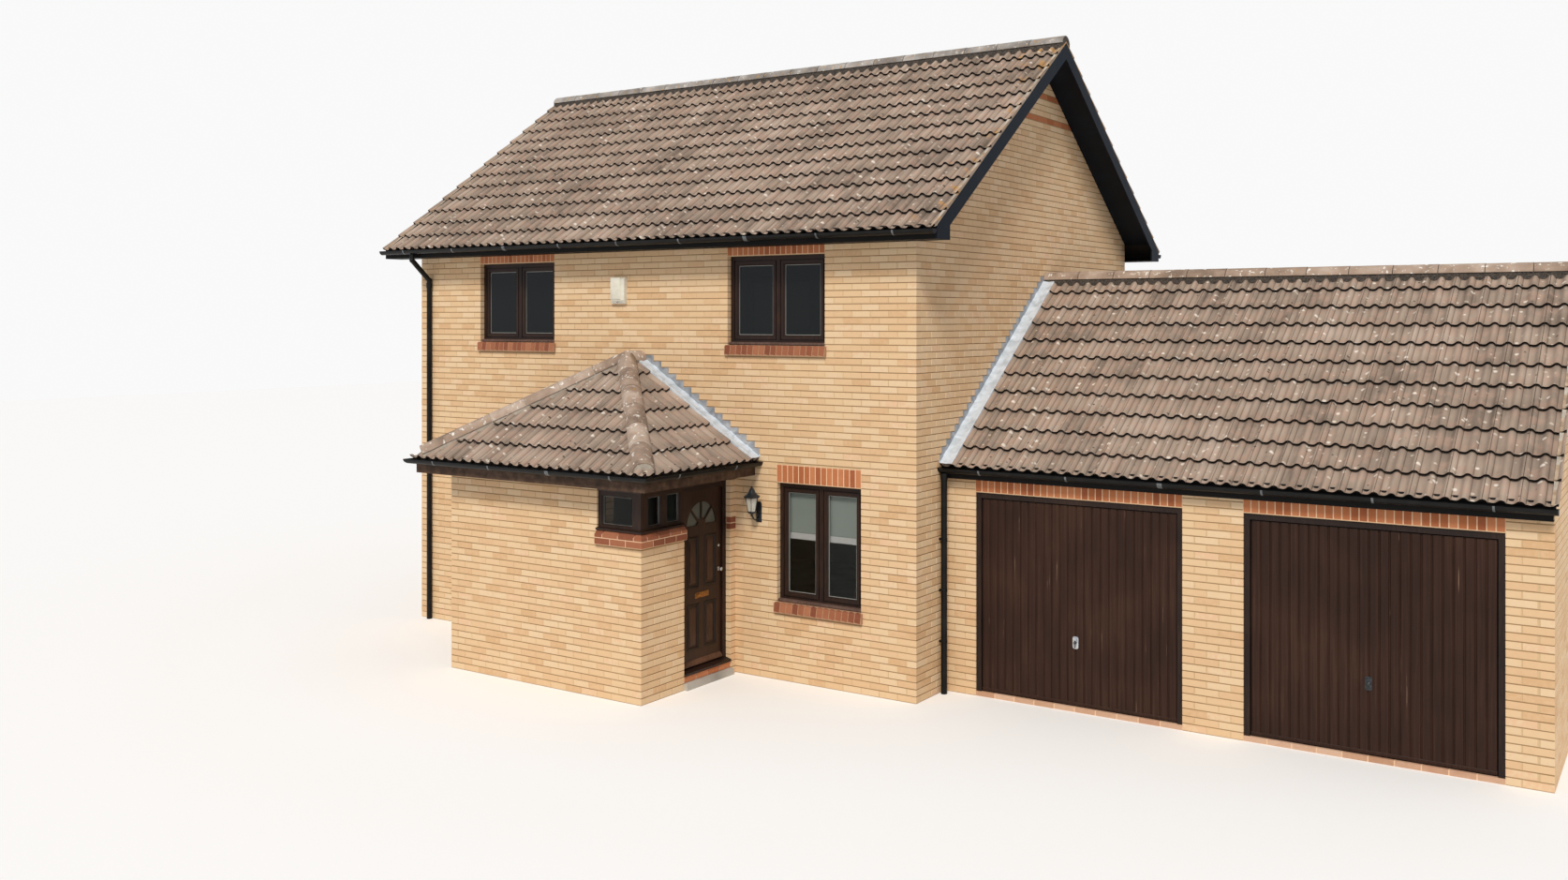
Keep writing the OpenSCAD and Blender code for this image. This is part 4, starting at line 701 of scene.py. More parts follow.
# Satin anodised spacer bars inside the sealed units, with fine breather marks 5 mm apart
spacer_metal = mottled("anodised_spacer_bar", [(0.4, "#8d8f88"), (0.6, "#adafa8")], 220.0, Roughness=0.45,
                       Metallic=0.2)

UP = Vector((0, 0, 1))
beads, spacers = Solids(), Solids()
for node_name, spacer_w in (("window_glass", 0.018), ("porch_glass", 0.0145)):
    for low, high in solid_boxes(node_name):
        corner, across, width, height = facing(low, high)
        surround(beads, corner, across, UP, width, height,
                       [(-0.001, 0.0005), (0.013, 0.0005), (0.010, 0.009), (-0.001, 0.017)])
        surround(spacers, corner, across, UP, width, height,
                 [(0.001, 0.0004), (spacer_w, 0.0004), (spacer_w, -0.012), (0.001, -0.012)])
beads.done("glazing_beads", frame_stain, "house", "brown_timber")
spacers.done("glass_spacer_bars", spacer_metal, "house", "glass")

# The timber sills' noses are drawn paler grey-brown over their tops and fronts: a painted reflection of the
# sky
nosings = Solids()
for low, high in solid_boxes("window_frames"):
    way = 1 if low.y < 0 else -1
    edge = low.y if low.y < 0 else high.y
    nosings.prism([(low.x + 0.001, edge + way * y, low.z + z) for y, z in (
        (-0.0015, 0.001), (-0.0015, 0.020), (0.001, 0.0228), (0.044, 0.0292), (0.044, 0.001))],
        (high.x - low.x - 0.002, 0, 0))
nosings.done("window_sill_nosings", stained_timber(
    "weathered_sill_stain", ["#47342b", "#574239", "#675147", "#776157"], 0.55), "house", "brown_timber")


# Roller blinds behind the lower window: each is one pale cloth hung straight down from its tube, with a
# white bar in its hem that shows through the glass just above the sill.

# Plain-woven cloth: matt, with its threads drawn 1.2 mm apart, coarser than real ones, so that they show.
# The tubes and bars are moulded plastic, white with a soft sheen
blind_cloth, add, shader, place = start_material("woven_blind_cloth", Roughness=0.9)
threads = [add("TexWave", {"Vector": place, "Scale": 260.0}, bands_direction=way) for way in ("X", "Z")]
weave = add("Math", {0: (threads[0], "Fac"), 1: (threads[1], "Fac")}, operation="MULTIPLY")
tint = add("ValToRGB", {"Fac": weave}, [(0.1, "#aebbb0"), (0.7, "#c4d0c5")])
bump = add("Bump", {"Strength": 0.2, "Distance": 0.0005, "Height": weave})
plug(shader, {"Base Color": tint, "Normal": bump})
blind_bar = mottled("white_moulded_bar", [(0.3, "#f0f2ec"), (0.7, "#fbfcf8")], 40.0, Roughness=0.4)


def lathe(solids, centre, axis, profile, sides=20):
    """A turned solid. profile holds (distance along the axis, radius) points."""
    axis = Vector(axis).normalized()
    one = Vector((1, 0, 0)) if abs(axis.x) < 0.9 else Vector((0, 1, 0))
    two = axis.cross(one).normalized()
    one = two.cross(axis)
    solids.loft([[Vector(centre) + axis * d + (one * math.cos(t) + two * math.sin(t)) * r
                  for t in (2 * math.pi * i / sides for i in range(sides))] for d, r in profile])


TUBE_R = 0.018
for side, (low, high) in zip(("left", "right"), solid_boxes("roller_blinds")):
    inset = 0.012
    tube_z = high.z - 0.02
    back_face = low.y + 0.004
    tube = Solids()
    span = high.x - low.x - 2 * inset
    lathe(tube, (low.x + inset, low.y + 0.021, tube_z), (1, 0, 0),
          [(0, 0.006), (0, TUBE_R), (span, TUBE_R), (span, 0.006)])
    tube.done(f"blind_tube_{side}", blind_bar, "house", "blind_cloth")
    bar = Solids()
    bar_top, bar_foot = low.z + 0.022, low.z - 0.043
    bar.prism([(low.x + inset, low.y + y, z) for y, z in (
        (0.001, bar_foot), (0.009, bar_foot), (0.009, bar_top), (0.004, bar_top + 0.004), (0.001, bar_top))],
        (span, 0, 0))
    bar.done(f"blind_bar_{side}", blind_bar, "house", "blind_cloth")
    # the cloth hangs almost flat, cockling by a millimetre or two across its width
    across_steps, down_steps = 24, 30
    width, drop = span - 0.01, tube_z - bar_top
    rows = []
    for thick in (0.0, 0.0006):
        for j in range(down_steps + 1):
            for i in range(across_steps + 1):
                a, d = i / across_steps, j / down_steps
                cockle = 0.0012 * math.sin(9.0 * a + 2.0 * d) * math.sin(math.pi * d)
                rows.append((low.x + inset + 0.005 + a * width, back_face + cockle + thick,
                             tube_z - d * drop))
    n, m = across_steps + 1, (across_steps + 1) * (down_steps + 1)
    faces = []
    for j in range(down_steps):
        for i in range(across_steps):
            k = j * n + i
            faces += [(k, k + n, k + n + 1, k + 1), (m + k, m + k + 1, m + k + n + 1, m + k + n)]
    rim = ([*range(n)] + [j * n + n - 1 for j in range(1, down_steps + 1)] +
           [m - 1 - i for i in range(1, n)] + [j * n for j in range(down_steps - 1, 0, -1)])
    faces += [(a, b, m + b, m + a) for a, b in zip(rim, rim[1:] + rim[:1])]
    cloth = new_piece(f"blind_cloth_{side}", rows, faces, blind_cloth, smooth=True)
    fit(cloth, "house", "blind_cloth", "roller_blinds")


# Front door: a dark stained hardwood leaf with bolection mouldings round its four raised panels, a fan of
# obscured glass, a weather bar, and brass and chromed fittings, in a rebated frame with a projecting sill.

door_stain = stained_timber("door_timber_stain", ["#1a0d07", "#26150d", "#321d13", "#40271a"], 0.42, 10.0)
# painted shade and light: the mouldings get a near-black copy of the stain, the raised panels a paler one
moulding_painted_shade = stained_timber("door_moulding_stain", ["#080402", "#0e0704", "#150b07", "#1f120b"],
                                0.4, 10.0)
panel_painted_light = stained_timber("door_panel_stain", ["#25140d", "#341f14", "#42291c", "#513425"], 0.42, 10.0)
finish_nodes(door_stain, "front_door")
finish_nodes(stained_timber("door_frame_stain", ["#150a07", "#1e100b", "#28160f", "#331e14"], 0.42, 12.0),
             "front_door_frame")
# Patterned glass, rippled every 7 mm, drawn opaque dark grey: painted shade for the dark hall behind the fan
obscured, add, shader, place = start_material("obscured_fan_glass", Roughness=0.3)
ripple = add("TexVoronoi", {"Vector": place, "Scale": 150.0})
tint = add("ValToRGB", {"Fac": ripple}, [(0.0, "#2c2e2a"), (0.6, "#55584f")])
bump = add("Bump", {"Strength": 0.6, "Distance": 0.002, "Height": ripple})
plug(shader, {"Base Color": tint, "Normal": bump})
finish_nodes(obscured, "front_door_glass")

# The leaf starts at its hinged edge, past the hinges' knuckles, which its packed box takes in
leaf_low, leaf_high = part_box("front_door")
leaf_y = -4.057
leaf_w = leaf_high[1] - leaf_y
leaf_face = leaf_high[0]
stile = 0.16 * leaf_w
panel_w = (leaf_w - 3 * stile) / 2
trims, fields = Solids(), Solids()
ACROSS = Vector((0, 1, 0))
for k in (0, 1):
    for z0, z1 in ((leaf_low[2] + 0.19, 0.89), (1.08, 1.767 - stile)):
        corner = Vector((leaf_face, leaf_y + stile + k * (panel_w + stile), z0))
        surround(trims, corner, ACROSS, UP, panel_w, z1 - z0,
                 [(-0.008, 0.0005), (0.022, -0.009), (0.020, -0.003), (0.010, 0.005), (-0.004, 0.007)])
        inset = 0.045
        flat = rectangle(corner, ACROSS, UP, panel_w, z1 - z0, inset, -0.0088)
        middle = sum(flat, Vector()) / 4
        raised = [p + (middle - p).normalized() * 0.02 + Vector((0.007, 0, 0)) for p in flat]
        fields.loft([[p - Vector((0.004, 0, 0)) for p in flat], flat, raised])
trims.done("door_panel_mouldings", moulding_painted_shade, "front_door", "brown_timber")
fields.done("door_raised_panels", panel_painted_light, "front_door", "brown_timber")
# painted light: the weather bar takes a paler copy of the stain, as if lit along its top
weather_bar = Solids()
bar_z = leaf_low[2] + 0.012
weather_bar.prism([(leaf_face - 0.001, leaf_y + 0.03, bar_z), (leaf_face + 0.034, leaf_y + 0.03, bar_z),
                   (leaf_face + 0.036, leaf_y + 0.03, bar_z + 0.014),
                   (leaf_face + 0.012, leaf_y + 0.03, bar_z + 0.052),
                   (leaf_face - 0.001, leaf_y + 0.03, bar_z + 0.058)], (0, leaf_w - 0.06, 0))
weather_bar.done("door_weather_bar", stained_timber(
    "worn_bar_stain", ["#3a2418", "#4a3022", "#5b3e2e", "#6d4d3b"], 0.5), "front_door", "brown_timber")

# Lacquered brass, dulled and finger-marked, on the letter plate; the knob and lock are bright steel
brass = mottled("lacquered_brass", [(0.3, "#6b4a24"), (0.5, "#93683a"), (0.7, "#b38652")], 45.0, 4.0,
                rough=(0.22, 0.5), Metallic=0.85)
bright_steel = mottled("satin_chromed_steel", [(0.3, "#b4b7ba"), (0.7, "#d9dbdd")], 60.0, 3.0,
                       Metallic=0.9, Roughness=0.25)

fitting_boxes = solid_boxes("front_door_fittings")
plate_low, plate_high = next(b for b in fitting_boxes if b[1].y - b[0].y > 0.2)
round_boxes = [b for b in fitting_boxes if b[1].y - b[0].y < 0.1]
letter_plate = Solids()
plate_corner = Vector((leaf_face, plate_low.y, plate_low.z))
plate_w, plate_h = plate_high.y - plate_low.y, plate_high.z - plate_low.z
surround(letter_plate, plate_corner, ACROSS, UP, plate_w, plate_h,
         [(0.0, 0.0), (0.013, 0.0), (0.013, 0.004), (0.008, 0.0075), (0.002, 0.006)])
flap = 0.0135
letter_plate.loft([rectangle(plate_corner, ACROSS, UP, plate_w, plate_h, flap + rim, off)
                   for off, rim in ((0.0, 0.0), (0.0035, 0.0), (0.005, 0.004))])
letter_plate.done("letter_plate_and_flap", brass, "front_door", "brass", "front_door_fittings")
knob = Solids()
for low, high in round_boxes:
    centre = Vector((leaf_face, (low.y + high.y) / 2, (low.z + high.z) / 2))
    reach, radius = high.x - leaf_face, (high.z - low.z) / 2
    if reach > 0.03:
        lathe(knob, centre, (1, 0, 0), [(0, 0.004), (0, radius), (0.004, radius - 0.001), (0.007, 0.009),
                                        (0.024, 0.008), (0.029, 0.015), (0.036, 0.021), (0.044, 0.0215),
                                        (0.049, 0.017), (reach, 0.006)], 24)
    else:
        lathe(knob, centre, (1, 0, 0), [(0, 0.004), (0, radius), (0.006, radius), (0.009, radius - 0.004),
                                        (0.009, 0.006), (0.0065, 0.005)], 24)
knob.done("door_knob_and_lock", bright_steel, "front_door", "bright_handle")


# Roof tiles: moulded concrete, two rolls to a tile, 418 mm long and laid at a 330 mm gauge from the eaves.
# Each course's nose rides on the one below and throws the wavy shadow line. They hang on battens over
# rafters, shown by the closed deck under them, and are bedded in mortar along the verges.

# A tile's roll, its thickness, its step over each nose, its lap, and how far askew it may lie, in radians
ROLL = 0.037
TILE_T = 0.021
STEP = 0.024
LAP = 0.075
TILE_SKEW = 0.002


class Slope:
    """One roof slope, from the left end of its eaves seen from outside."""

    def __init__(self, corner, across, pitch, width, run):
        self.pitch = math.radians(pitch)
        self.across = Vector(across)
        inward = Vector((-self.across.y, self.across.x, 0.0))
        self.up = inward * math.cos(self.pitch) + Vector((0, 0, math.sin(self.pitch)))
        self.normal = self.across.cross(self.up)
        self.corner = Vector(corner)
        self.width = width
        self.run = run
        self.length = run / math.cos(self.pitch)

    def point(self, u, s, h=0.0):
        return self.corner + self.across * u + self.up * s + self.normal * h

    def turn(self):
        return Matrix((self.across, self.up, self.normal)).transposed().to_euler()


# Across one roll: how far along it, and how far its face falls below the crest. The crest is narrow, and a
# groove runs where it drops to the broad pan, which curves up again to the next crest.
GROOVE_AT = 0.3
ROLL_POINTS = [(0.0, 0.0), (0.09, 0.03), (0.17, 0.22), (0.24, 0.6), (GROOVE_AT, 0.98), (0.34, 0.86),
               (0.46, 0.98), (0.6, 1.0), (0.71, 0.84), (0.81, 0.5), (0.91, 0.13)]


def tile_template(width, gauge):
    """One tile with its nose at y = 0 and its rolls' crest at z = 0, falling to lap under the next."""
    length = gauge + LAP
    gap = 0.002
    shape = [((roll + p) / 2, fall, p) for roll in (0, 1) for p, fall in ROLL_POINTS] + [(1.0, 0.0, 0.0)]
    n = len(shape)
    vertices = [(gap + (width - 2 * gap) * share, y, -ROLL * fall - drop - under)
                for y, drop in ((0.0, 0.0), (length, STEP * length / gauge)) for under in (0, TILE_T)
                for share, fall, p in shape]
    faces = [(i, i + 1, 2 * n + i + 1, 2 * n + i) for i in range(n - 1)]
    faces += [(n + i + 1, n + i, 3 * n + i, 3 * n + i + 1) for i in range(n - 1)]
    faces += [(*range(n, 2 * n), *range(n - 1, -1, -1)),
              (*range(2 * n, 3 * n), *range(4 * n - 1, 3 * n - 1, -1)),
              (0, 2 * n, 3 * n, n), (2 * n - 1, 4 * n - 1, 3 * n - 1, n - 1)]
    tile = new_piece("tile_template", vertices, faces)
    tile.data.polygons.foreach_set("use_smooth", [i < n - 1 for i in range(len(faces))])
    nose = tile.data.attributes.new("nose", "FLOAT", "FACE")
    nose.data.foreach_set("value", [float(i == 2 * n - 2) for i in range(len(faces))])
    groove = tile.data.attributes.new("groove", "FLOAT", "POINT")
    groove.data.foreach_set("value", [float(p == GROOVE_AT) for p in [p for _, _, p in shape] * 4])
    bpy.context.scene.collection.objects.unlink(tile)
    return tile


tile_courses, add, source = new_tree("tile_courses", Tile="Object", Turn="Rotation", Skew="Float",
                                     Seed="Int", Finish="Material")
info = add("GeometryNodeObjectInfo", {"Object": (source, "Tile")})
tiles = add("GeometryNodeInstanceOnPoints", {"Points": (source, "Geometry"), "Instance": (info, "Geometry"),
                                             "Rotation": (source, "Turn")})
least = add("Math", {0: (source, "Skew"), 1: -1.0}, operation="MULTIPLY")
low = add("CombineXYZ", {"X": least, "Y": least, "Z": least})
high = add("CombineXYZ", {"X": (source, "Skew"), "Y": (source, "Skew"), "Z": (source, "Skew")})
skew = add("FunctionNodeRandomValue", {"Min": low, "Max": high, "Seed": (source, "Seed")},
           data_type="FLOAT_VECTOR")
turned = add("GeometryNodeRotateInstances", {"Instances": tiles, "Rotation": skew})
tone = add("FunctionNodeRandomValue", {"Min": 0.0, "Max": 1.0, "Seed": (source, "Seed")})
toned = add("GeometryNodeStoreNamedAttribute", {"Geometry": turned, "Name": "tone", "Value": tone},
            domain="INSTANCE")
end_tree(add, source, toned)

# Weathered concrete tile: brown-grey going pinkish and streaked down the slope by rain. Each nose, the mock
# joints and a strip just under each nose carry painted shade, near black. Lichen spots 15 to 40 mm across,
# and orange lichen by the right verge and the ridge
weathered_tile, add, shader, place = start_material("weathered_concrete_tile", Roughness=0.92,
                                                    Specular_IOR_Level=0.25)
tone, laid, nose, groove = [add("Attribute", attribute_name=key)
                            for key in ("tone", "laid", "nose", "groove")]
streaked = add("Mapping", {"Vector": (laid, "Vector"), "Scale": (13.0, 1.3, 1.0)})
streak = add("TexNoise", {"Vector": streaked, "Scale": 1.0, "Detail": 4.0})
cloud = add("TexNoise", {"Vector": place, "Scale": 1.1, "Detail": 6.0})
blend = add("Mix", {"Factor": 0.5, "A": streak, "B": cloud})
shifted = add("Math", {0: (tone, "Fac"), 1: 0.14, 2: blend}, operation="MULTIPLY_ADD")
base = add("ValToRGB", {"Fac": shifted}, [(0.38, "#75675a"), (0.5, "#8e7e70"), (0.6, "#a08e7e"),
                                          (0.74, "#b3a192")])
patches = add("TexNoise", {"Vector": place, "Scale": 7.0, "Detail": 3.0})
pinker = add("MapRange", {"Value": patches, "From Min": 0.45, "From Max": 0.62, "To Max": 0.45})
mixed = add("Mix", {"Factor": pinker, "A": base, "B": linear("#ad8f7d")}, data_type="RGBA")
for salt, scale, reach, keep, colour in ((0.0, 6.0, 0.16, 0.3, "#e4dacc"), (5.3, 9.0, 0.2, 0.55, "#c6b8a8"),
                                         (9.1, 8.0, 0.13, 0.72, "#2f2820")):
    moved = add("VectorMath", {0: (laid, "Vector"), 1: (salt, salt, salt)}, operation="ADD")
    cell = add("TexVoronoi", {"Vector": moved, "Scale": scale}, voronoi_dimensions="2D")
    pick = add("SeparateColor", {"Color": (cell, "Color")})
    near = add("MapRange", {"Value": (pick, "Red"), "From Min": keep, "From Max": 1.0, "To Min": 0.0,
                            "To Max": reach})
    spot = add("Math", {0: near, 1: cell}, operation="SUBTRACT")
    shown = add("MapRange", {"Value": spot, "From Min": 0.0, "From Max": 0.06, "To Max": 0.8})
    mixed = add("Mix", {"Factor": shown, "A": mixed, "B": linear(colour)}, data_type="RGBA")
where = add("SeparateXYZ", {"Vector": place})
dry = add("MapRange", {"Value": (where, "X"), "From Min": 3.5, "From Max": 4.25, "To Min": 0.0,
                       "To Max": 0.26})
crown = add("MapRange", {"Value": (where, "Z"), "From Min": 6.9, "From Max": 7.5, "To Min": 0.0,
                         "To Max": 0.14})
upper = add("Math", {0: (where, "Z"), 1: 4.8}, operation="GREATER_THAN")
drier = add("Math", {0: dry, 1: upper, 2: crown}, operation="MULTIPLY_ADD")
growth = add("TexNoise", {"Vector": place, "Scale": 7.0, "Detail": 4.0})
grown = add("Math", {0: growth, 1: drier}, operation="ADD")
orange = add("MapRange", {"Value": grown, "From Min": 0.8, "From Max": 0.88, "To Min": 0.0, "To Max": 0.7})
lichened = add("Mix", {"Factor": orange, "A": mixed, "B": linear("#b5894c")}, data_type="RGBA")
# painted shade: each nose and each mock joint go near black
nose_and_groove_shade = add("Math", {0: (groove, "Fac"), 1: 0.6, 2: (nose, "Fac")}, operation="MULTIPLY_ADD",
            use_clamp=True)
# painted shadow: a strip about 15 mm deep just under each course's nose goes near black
course = add("Attribute", attribute_name="course")
phase = add("Math", {0: (course, "Fac")}, operation="FRACT")
under = add("MapRange", {"Value": phase, "From Min": 0.945, "From Max": 0.97, "To Max": 0.85})
nose_and_groove_shade = add("Math", {0: nose_and_groove_shade, 1: under}, operation="MAXIMUM")
final = add("Mix", {"Factor": nose_and_groove_shade, "A": lichened, "B": linear("#110b07")}, data_type="RGBA")
grain = add("TexNoise", {"Vector": place, "Scale": 90.0, "Detail": 4.0})
bump = add("Bump", {"Strength": 0.4, "Distance": 0.002, "Height": grain})
plug(shader, {"Base Color": final, "Normal": bump})

# Roofing felt on sawn battens, the dark deck seen in the gaps and from inside
roof_felt = mottled("roofing_felt", [(0.35, "#1d1b1a"), (0.65, "#2b2826")], 60.0, Roughness=0.9)


def cut_closed(piece, planes):
    """Cuts a piece of closed solids by planes, each (point, outward normal), and closes the cuts."""
    mesh = bmesh.new()
    mesh.from_mesh(piece.data)
    for point, outward in planes:
        bmesh.ops.bisect_plane(mesh, geom=[*mesh.verts, *mesh.edges, *mesh.faces], dist=1e-6, plane_co=point,
                               plane_no=outward, clear_outer=True)
        bmesh.ops.holes_fill(mesh, edges=[e for e in mesh.edges if e.is_boundary], sides=0)
    mesh.to_mesh(piece.data)
    mesh.free()


def lay_tiles(name, slope, columns, courses, seed, replaced, planes=()):
    """Tiles one slope, and lays the deck of battens and rafters under it."""
    width, gauge = slope.width / columns, slope.length / courses
    spots = [slope.point(i * width, j * gauge) for j in range(courses) for i in range(columns)]
    piece = new_piece(name, spots, [])
    template = tile_template(width, gauge)
    grow(piece, tile_courses, Tile=template, Turn=slope.turn(), Skew=TILE_SKEW, Seed=seed,
         Finish=weathered_tile)
    bpy.data.objects.remove(template)
    crown = slope.point(0, slope.length)
    inward = Vector((-slope.across.y, slope.across.x, 0.0))
    cut_closed(piece, [(crown, inward), *planes])
    points = np.empty(len(piece.data.vertices) * 3, dtype=np.float32)
    piece.data.vertices.foreach_get("co", points)
    axes = np.array([slope.across, slope.up, slope.normal], dtype=np.float32)
    held = piece.data.attributes.new("laid", "FLOAT_VECTOR", "POINT")
    places = points.reshape(-1, 3) @ axes.T
    held.data.foreach_set("vector", places.ravel())
    course = piece.data.attributes.new("course", "FLOAT", "POINT")
    course.data.foreach_set("value", (places[:, 1] - slope.corner.dot(slope.up)) / gauge)
    fit(piece, "house", "roof_tile")
    deck = new_piece(name.replace("tiles", "deck"), [
        slope.point(u, s, h) for h in (DECK_LOW * math.cos(slope.pitch), DECK_TOP)
        for u, s in ((0.03, 0.02), (slope.width - 0.03, 0.02), (slope.width - 0.03, slope.length),
                     (0.03, slope.length))],
        [(3, 2, 1, 0), (4, 5, 6, 7), (0, 1, 5, 4), (1, 2, 6, 5), (2, 3, 7, 6), (3, 0, 4, 7)], roof_felt)
    cut_closed(deck, [(crown, inward), *planes])
    fit(deck, "house", "roof_tile", replaced)


# The deck's underside and top, below the tiles' crests
DECK_LOW, DECK_TOP = -0.15, -0.092
MAIN_RUN, MAIN_EDGE = 3.492, 5.091
verge_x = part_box("main_roof_front")[1][0]
main_slopes = [Slope((-verge_x, -MAIN_RUN, MAIN_EDGE), (1, 0, 0), MAIN_PITCH, 2 * verge_x, MAIN_RUN),
               Slope((verge_x, MAIN_RUN, MAIN_EDGE), (-1, 0, 0), MAIN_PITCH, 2 * verge_x, MAIN_RUN)]
for side, slope in zip(("front", "back"), main_slopes):
    lay_tiles(f"main_tiles_{side}", slope, 29, 13, 21, f"main_roof_{side}")

GARAGE_RUN, GARAGE_EDGE = 2.9465, 2.523
garage_tile_x, garage_ridge_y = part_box("garage_roof_front")[1][:2]
garage_width = garage_tile_x - garage_x
garage_slopes = [
    Slope((garage_x, garage_ridge_y - GARAGE_RUN, GARAGE_EDGE), (1, 0, 0), GARAGE_PITCH, garage_width,
          GARAGE_RUN),
    Slope((garage_tile_x, garage_ridge_y + GARAGE_RUN, GARAGE_EDGE), (-1, 0, 0), GARAGE_PITCH, garage_width,
          GARAGE_RUN)]
for side, slope in zip(("front", "back"), garage_slopes):
    lay_tiles(f"garage_tiles_{side}", slope, 20, 11, 22, f"garage_roof_{side}")

# The porch roof's three slopes meet at two hips, where the tiles are cut to the mitre
PORCH_PITCH, PORCH_RUN, PORCH_EDGE = 33.0, 1.792, 2.519
porch_roof_low, porch_roof_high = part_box("porch_roof_front")
porch_x, porch_y = (porch_roof_low[0] + porch_roof_high[0]) / 2, porch_roof_low[1]
apex = Vector((porch_x, porch_y + PORCH_RUN, PORCH_EDGE))
porch_depth = front_y - porch_y
to_left, to_right = Vector((-1, 1, 0)).normalized(), Vector((1, 1, 0)).normalized()
against_house = (Vector((0, front_y - 0.001, 0)), Vector((0, 1, 0)))
porch_slopes = {
    "front": (Slope((porch_roof_low[0], porch_y, PORCH_EDGE), (1, 0, 0), PORCH_PITCH, 2 * PORCH_RUN,
                    PORCH_RUN), 12, [(apex, to_left), (apex, to_right)]),
    "right": (Slope((porch_roof_high[0], porch_y, PORCH_EDGE), (0, 1, 0), PORCH_PITCH, porch_depth,
                    PORCH_RUN), 7, [(apex, -to_right), against_house]),
    "left": (Slope((porch_roof_low[0], front_y, PORCH_EDGE), (0, -1, 0), PORCH_PITCH, porch_depth,
                   PORCH_RUN), 7, [(apex, -to_left), against_house])}
for side, (slope, columns, planes) in porch_slopes.items():
    lay_tiles(f"porch_tiles_{side}", slope, columns, 6, 23, f"porch_roof_{side}", planes)


# Ridge and hip tiles: half-round clay-coloured concrete, 450 mm long, butted and bedded on mortar that also
# fills the rolls under their feet and the open ends over the verges and at the foot of each hip.

# Trowelled mortar: matt and gritty, with grit of about 3 mm drawn at 7 mm so that it shows, in clouded
# greys. On the ridges it is drawn near black: dirt, and painted shadow under the caps' feet
bedding, add, shader, place = start_material("grey_bedding_mortar", Roughness=0.95)
grit = add("TexNoise", {"Vector": place, "Scale": 140.0, "Detail": 4.0})
patch = add("TexNoise", {"Vector": place, "Scale": 6.0, "Detail": 4.0})
mix = add("Mix", {"Factor": 0.4, "A": patch, "B": grit})
tint = add("ValToRGB", {"Fac": mix}, [(0.33, "#8e8578"), (0.5, "#aca293"), (0.66, "#c5bcad")])
bump = add("Bump", {"Strength": 0.6, "Distance": 0.003, "Height": grit})
plug(shader, {"Base Color": tint, "Normal": bump})
dark_ridge_bedding = mottled("sooty_ridge_bedding", [(0.35, "#2b2622"), (0.7, "#585048")], 60.0, 5.0,
                        bump=(0.6, 0.003), Roughness=0.95)


def weathered_cap(name, tones, lichen, lichen_share, orange_share):
    """Concrete caps: each its own tone, blotched at 60 to 300 mm, with splashes of lichen 20 to 60 mm."""
    material, add, shader, place = start_material(name, Roughness=0.9)
    tone = add("Attribute", attribute_name="tone")
    cloud = add("TexNoise", {"Vector": place, "Scale": 5.0, "Detail": 6.0})
    blend = add("Math", {0: (tone, "Fac"), 1: 0.22, 2: cloud}, operation="MULTIPLY_ADD")
    mixed = add("ValToRGB", {"Fac": blend}, tones)
    for colour, share, scale, salt in ((lichen, lichen_share, 19.0, 3.1),
                                       ("#b1843a", orange_share, 26.0, 8.7)):
        moved = add("VectorMath", {0: place, 1: (salt, salt, salt)}, operation="ADD")
        growth = add("TexNoise", {"Vector": moved, "Scale": scale, "Detail": 3.0, "Distortion": 0.5})
        shown = add("MapRange", {"Value": growth, "From Min": 0.78 - share, "From Max": 0.84 - share,
                                 "To Max": 0.85})
        mixed = add("Mix", {"Factor": shown, "A": mixed, "B": linear(colour)}, data_type="RGBA")
    grain = add("TexNoise", {"Vector": place, "Scale": 110.0, "Detail": 4.0})
    bump = add("Bump", {"Strength": 0.4, "Distance": 0.002, "Height": grain})
    plug(shader, {"Base Color": mixed, "Normal": bump})
    return material


grey_caps = weathered_cap("weathered_ridge_concrete", [
    (0.36, "#69615c"), (0.52, "#827c75"), (0.68, "#96918b"), (0.82, "#aaa49e")], "#d2ccc0", 0.16, 0.17)
brown_caps = weathered_cap("weathered_hip_concrete", [
    (0.36, "#786556"), (0.52, "#937e6d"), (0.68, "#a5907f"), (0.82, "#b2a090")], "#e6e2d8", 0.17, 0.1)

# A cap's outer radius, its rise over the slopes' meeting line, its thickness and its length
CAP_R, CAP_RISE, CAP_T, CAP_L = 0.1245, 0.045, 0.014, 0.45


def cap_run(name, top, foot, fall, finish, bed_finish, lifted, planes=(), replaced=()):
    """Half-round caps along a line where two slopes meet, with their feet lifted, in radians, on the bed."""
    line = foot - top
    along = line.normalized()
    across = along.cross(Vector((0, 0, 1))).normalized()
    up = across.cross(along)
    fall = math.radians(fall)
    reach = fall + math.acos((CAP_R - CAP_RISE) * math.cos(fall) / CAP_R) - lifted
    turns = [reach * (i / 10 - 1) for i in range(21)]

    def ring(s, radii):
        centre = top + along * s + up * (CAP_RISE - CAP_R)
        arcs = [[centre + (across * math.sin(t) + up * math.cos(t)) * r for t in turns] for r in radii]
        return arcs[0] + arcs[1][::-1]

    caps, bed = Solids(len(name)), Solids()
    count = max(1, round(line.length / CAP_L))
    pitch = line.length / count
    for i in range(count):
        a, b = i * pitch + 0.004, (i + 1) * pitch - 0.004
        caps.loft([ring(a, (CAP_R - 0.0025, CAP_R - CAP_T)), ring(b, (CAP_R, CAP_R - CAP_T + 0.002))])
    inset, depth = 0.003, 0.08
    ends = []
    for s in (inset, line.length - inset):
        centre = top + along * s + up * (CAP_RISE - CAP_R)
        arc = [centre + (across * math.sin(t) + up * math.cos(t)) * (CAP_R - CAP_T)
               for t in (math.radians(a) for a in range(-90, 91, 10))]
        ends.append([centre - across * (CAP_R - CAP_T) - up * depth] + arc +
                    [centre + across * (CAP_R - CAP_T) - up * depth])
    bed.loft(ends)
    for solids, kind, material in ((caps, "caps", finish), (bed, "bedding", bed_finish)):
        piece = solids.done(f"{name}_{kind}", material, "house", "ridge_tile", *replaced)
        if planes:
            cut_closed(piece, planes)


